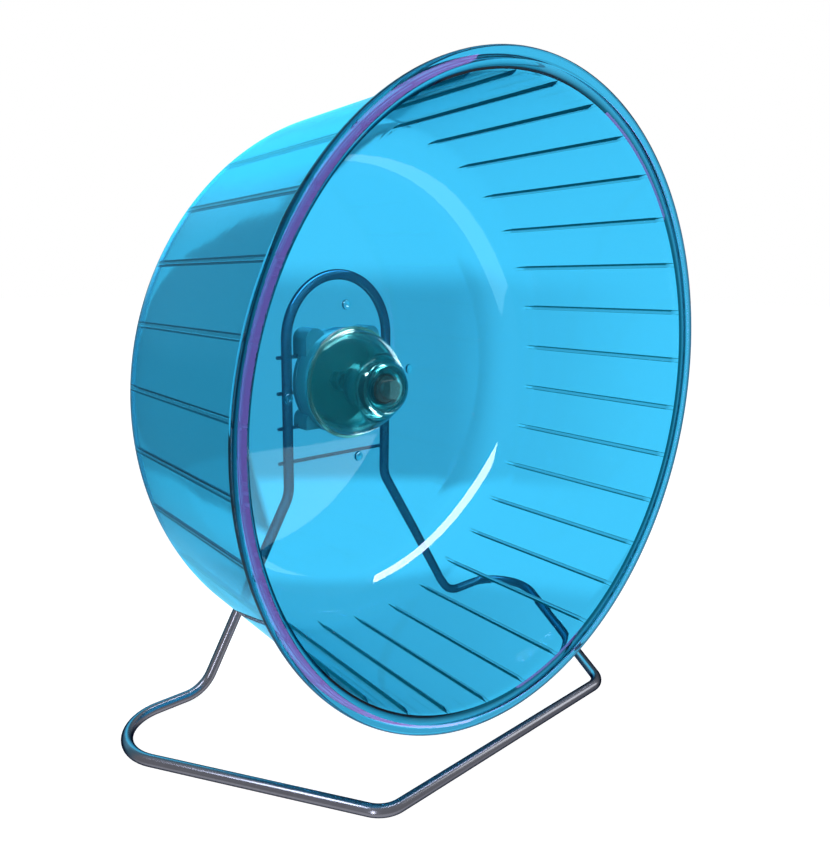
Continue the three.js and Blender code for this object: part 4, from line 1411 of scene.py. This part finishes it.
def studio_light(tree, direction, path):
    """Tone and power of the studio, brighter towards the floor and behind the wheel."""
    heading = add_node(tree, "ShaderNodeSeparateXYZ", [(0, direction)])
    behind = light_behind(tree, heading, path)
    down = times(tree, fall(tree, heading.outputs["Z"], DOWN_Z), fall(tree, heading.outputs["Y"], DOWN_Y))
    facing = fall(tree, heading.outputs["Y"], FRONT_Y)
    few = maths(tree, "LESS_THAN", path.outputs["Transmission Depth"], TURNED_SURFACES)
    turned = times(tree, few, path.outputs["Is Transmission Ray"])
    tone = mix_colours(tree, maths(tree, "MAXIMUM", down, facing), AROUND_TONE, FRONT_TONE)
    tone = mix_colours(tree, behind, tone, BEHIND_TONE)
    tone = mix_colours(tree, turned, tone, TURNED_TONE)
    around = between(tree, down, AROUND_POWER, DOWN_POWER)
    power = maths(tree, "ADD", around, times(tree, behind, BEHIND_POWER))
    power = maths(tree, "MAXIMUM", power, times(tree, turned, TURNED_POWER))
    return tone, times(tree, power, dimming(tree, path))


# %% World
WHITE, FAINT_TINT = (1, 1, 1, 1), (0.97, 1, 1, 1)


def background(tree, colour, strength):
    """One face of the world."""
    links = [("Color", colour), ("Strength", strength)]
    return add_node(tree, "ShaderNodeBackground", links).outputs[0]


def build_world():
    """White for the camera, shades straight through the plastic, and the studio for all other rays."""
    world = bpy.data.worlds.new("studio")
    world.use_nodes = True
    bpy.context.scene.world = world
    tree = world.node_tree
    tree.nodes.clear()
    path = tree.nodes.new("ShaderNodeLightPath")
    direction = add_node(tree, "ShaderNodeTexCoord").outputs["Generated"]
    bounced = maths(tree, "MAXIMUM", path.outputs["Glossy Depth"], path.outputs["Diffuse Depth"])
    straight = maths(tree, "LESS_THAN", bounced, 0.5)
    through = times(tree, straight, path.outputs["Is Transmission Ray"])
    white = background(tree, WHITE, 1.0)
    shades = background(tree, FAINT_TINT, shades_seen_through(tree, direction))
    studio = background(tree, *studio_light(tree, direction, path))
    seen = mix_shaders(tree, path.outputs["Is Camera Ray"], studio, white)
    result = tree.nodes.new("ShaderNodeOutputWorld")
    tree.links.new(mix_shaders(tree, through, seen, shades), result.inputs["Surface"])
    return world


world = build_world()
print("world:", len(world.node_tree.nodes), "nodes")

# %% [markdown]
# Soft studio light comes from three boxes round the wheel, a strip above the wire and three small
# fills for the ribs, the cone and the mount plate. The other lights are only there for gloss, each on
# the pieces named with it: a wide window in front draws the long bright streak along the drum's rear
# fillet, a low panel draws the pale crescent on its upper right, a violet panel colours the left of
# the rim, and the windows of the bell and the cap draw the thin arcs on the hub.

# %% A light for chosen pieces
def softbox(name, spot, size, brightness, only, colour=(1, 1, 1), target=(0, 100, 0), gloss=False):
    """A rectangular light at a place in mm from the middle of the rim's front. It looks at a target."""
    data = bpy.data.lights.new(name, "AREA")
    data.shape = "RECTANGLE"
    data.size, data.size_y = size[0] * MM, size[1] * MM
    data.energy = brightness * math.pi * data.size * data.size_y
    data.color = colour
    light = bpy.data.objects.new(name, data)
    middle = Vector((axle.x, rim_front, axle.z))
    light.location = middle + Vector(spot) * MM
    light.rotation_euler = (Vector(target) * MM - Vector(spot) * MM).to_track_quat("-Z", "Y").to_euler()
    light.visible_transmission = False
    light.visible_camera = False
    bpy.context.scene.collection.objects.link(light)
    light.visible_diffuse = not gloss
    lit = bpy.data.collections.new(name + " targets")
    for piece in only:
        lit.objects.link(piece)
    light.light_linking.receiver_collection = lit
    return light


# %% Soft light
HUB_SIDE = (-700, -900, 700)
steel_pieces = [stand, *cross_rods, *welds]
set_apart = [shell, back, rim, nubs, *steel_pieces]
other_pieces = [o for o in bpy.context.scene.objects if o.type == "MESH" and o not in set_apart]
mount_plate = frame["nodes"]["mount_plate"]
softbox("key_softbox", (-900, -500, 1150), (300, 300), 10.0, other_pieces)
softbox("fill_softbox", (1200, -800, 700), (500, 800), 0.9, other_pieces + steel_pieces)
softbox("back_softbox", (400, 1500, 900), (900, 600), 1.2, other_pieces)
softbox("overhead_strip", (0, 60, 1200), (2400, 260), 5.0, steel_pieces, (0.75, 0.8, 1))
wash = softbox("rib_wash", (-700, -100, 1100), (500, 500), 9.0, [shell, back])
hub_fill = softbox("hub_fill", HUB_SIDE, (600, 600), 8.5, [cone])
plate_fill = softbox("plate_fill", HUB_SIDE, (600, 600), 4.5, [mount_plate])
for light in (wash, hub_fill, plate_fill):
    light.visible_glossy = False

# %% Lights for gloss
IN_FRONT = (-60, -800, 600)
WARM, WARMEST, TEAL, VIOLET = (1.6, 1, 1), (2.4, 1.05, 1.05), (0.06, 0.9, 1.5), (8, 2, 7)
softbox("front_window", IN_FRONT, (1500, 300), 26, [back, nubs], WARMEST, gloss=True)
softbox("bell_window", IN_FRONT, (1500, 110), 13, [bell], gloss=True)
softbox("cap_window", IN_FRONT, (900, 60), 2.5, [cap, cone], gloss=True)
softbox("cap_panel", (700, -860, -60), (1500, 1500), 2.2, [bolt, cap], (0.3, 0.9, 1), gloss=True)
boss_window = softbox("boss_window", (250, 1000, 850), (700, 400), 6, [bell, cap, cone], gloss=True)
flank_panel = softbox("flank_panel", (1200, 650, 250), (500, 400), 2.2, [bell], (0.6, 0.9, 1), gloss=True)
softbox("rim_strip", (-1500, 700, -100), (160, 1700), 5, [rim], WARM, gloss=True)
softbox("violet_panel", (330, -600, -100), (420, 950), 1.0, [rim], VIOLET, target=(-100, 0, 0), gloss=True)
softbox("rim_back", (-560, 1150, 250), (700, 900), 4.5, [rim], TEAL, gloss=True)
softbox("leg_strip", (-1400, -1000, 100), (150, 1200), 5.0, steel_pieces, (0.85, 0.85, 1), gloss=True)
softbox("low_panel", (220, -160, -150), (600, 260), 2.2, [back], (2, 1.2, 1), (220, -160, 100), gloss=True)

# %% Two lights that reach the hub from behind
only_floor = bpy.data.collections.new("nothing but the floor")
only_floor.objects.link(floor)
for light in (boss_window, flank_panel):
    light.light_linking.blocker_collection = only_floor

# %% [markdown]
# The camera was worked out from the photograph's own shapes: the rim and the back wall are circles
# of known proportion, so their ellipses fix where the lens stood. It was close, about a third of a
# metre off at this size, which is why the near side of the rim looks so large.

# %% Camera
YAW, PITCH, ROLL = 0.703, -0.232, 0.009
STANCE = (-241.7, -183.8, 57.8)
FOCAL_PX, CENTRE_PX = 717.3, (371.5, 442.8)
FRAME_PX = (830, 866)
SENSOR, CLOSEST_SEEN = 36, 0.01


def build_camera():
    """A camera at its stance, turned by three angles, with its middle shifted as in the photograph."""
    ahead = Vector((math.sin(YAW) * math.cos(PITCH), math.cos(YAW) * math.cos(PITCH), math.sin(PITCH)))
    level = Vector((math.cos(YAW), -math.sin(YAW), 0))
    above = level.cross(ahead)
    right = level * math.cos(ROLL) + above * math.sin(ROLL)
    up = above * math.cos(ROLL) - level * math.sin(ROLL)
    data = bpy.data.cameras.new("camera")
    longest = max(FRAME_PX)
    data.sensor_width = SENSOR
    data.lens = FOCAL_PX / longest * SENSOR
    data.shift_x = (FRAME_PX[0] / 2 - CENTRE_PX[0]) / longest
    data.shift_y = (CENTRE_PX[1] - FRAME_PX[1] / 2) / longest
    data.clip_start = CLOSEST_SEEN
    made = bpy.data.objects.new("camera", data)
    spot = Vector((axle.x, rim_front, axle.z)) + Vector(STANCE) * MM
    turn = Matrix((right, up, -ahead)).transposed().to_4x4()
    made.matrix_world = Matrix.Translation(spot) @ turn
    bpy.context.scene.collection.objects.link(made)
    bpy.context.scene.camera = made
    return made


camera = build_camera()
bpy.context.scene.view_settings.view_transform = "Standard"
print("camera at", [round(c, 3) for c in camera.location])

# %% [markdown]
# Light crosses many surfaces in a clear drum, so the renderer may follow it through more of them
# than usual.

# %% Bounces
CROSSINGS, SHADOW_CROSSINGS = 20, 24
bpy.context.scene.cycles.max_bounces = CROSSINGS
bpy.context.scene.cycles.transmission_bounces = CROSSINGS
bpy.context.scene.cycles.transparent_max_bounces = SHADOW_CROSSINGS
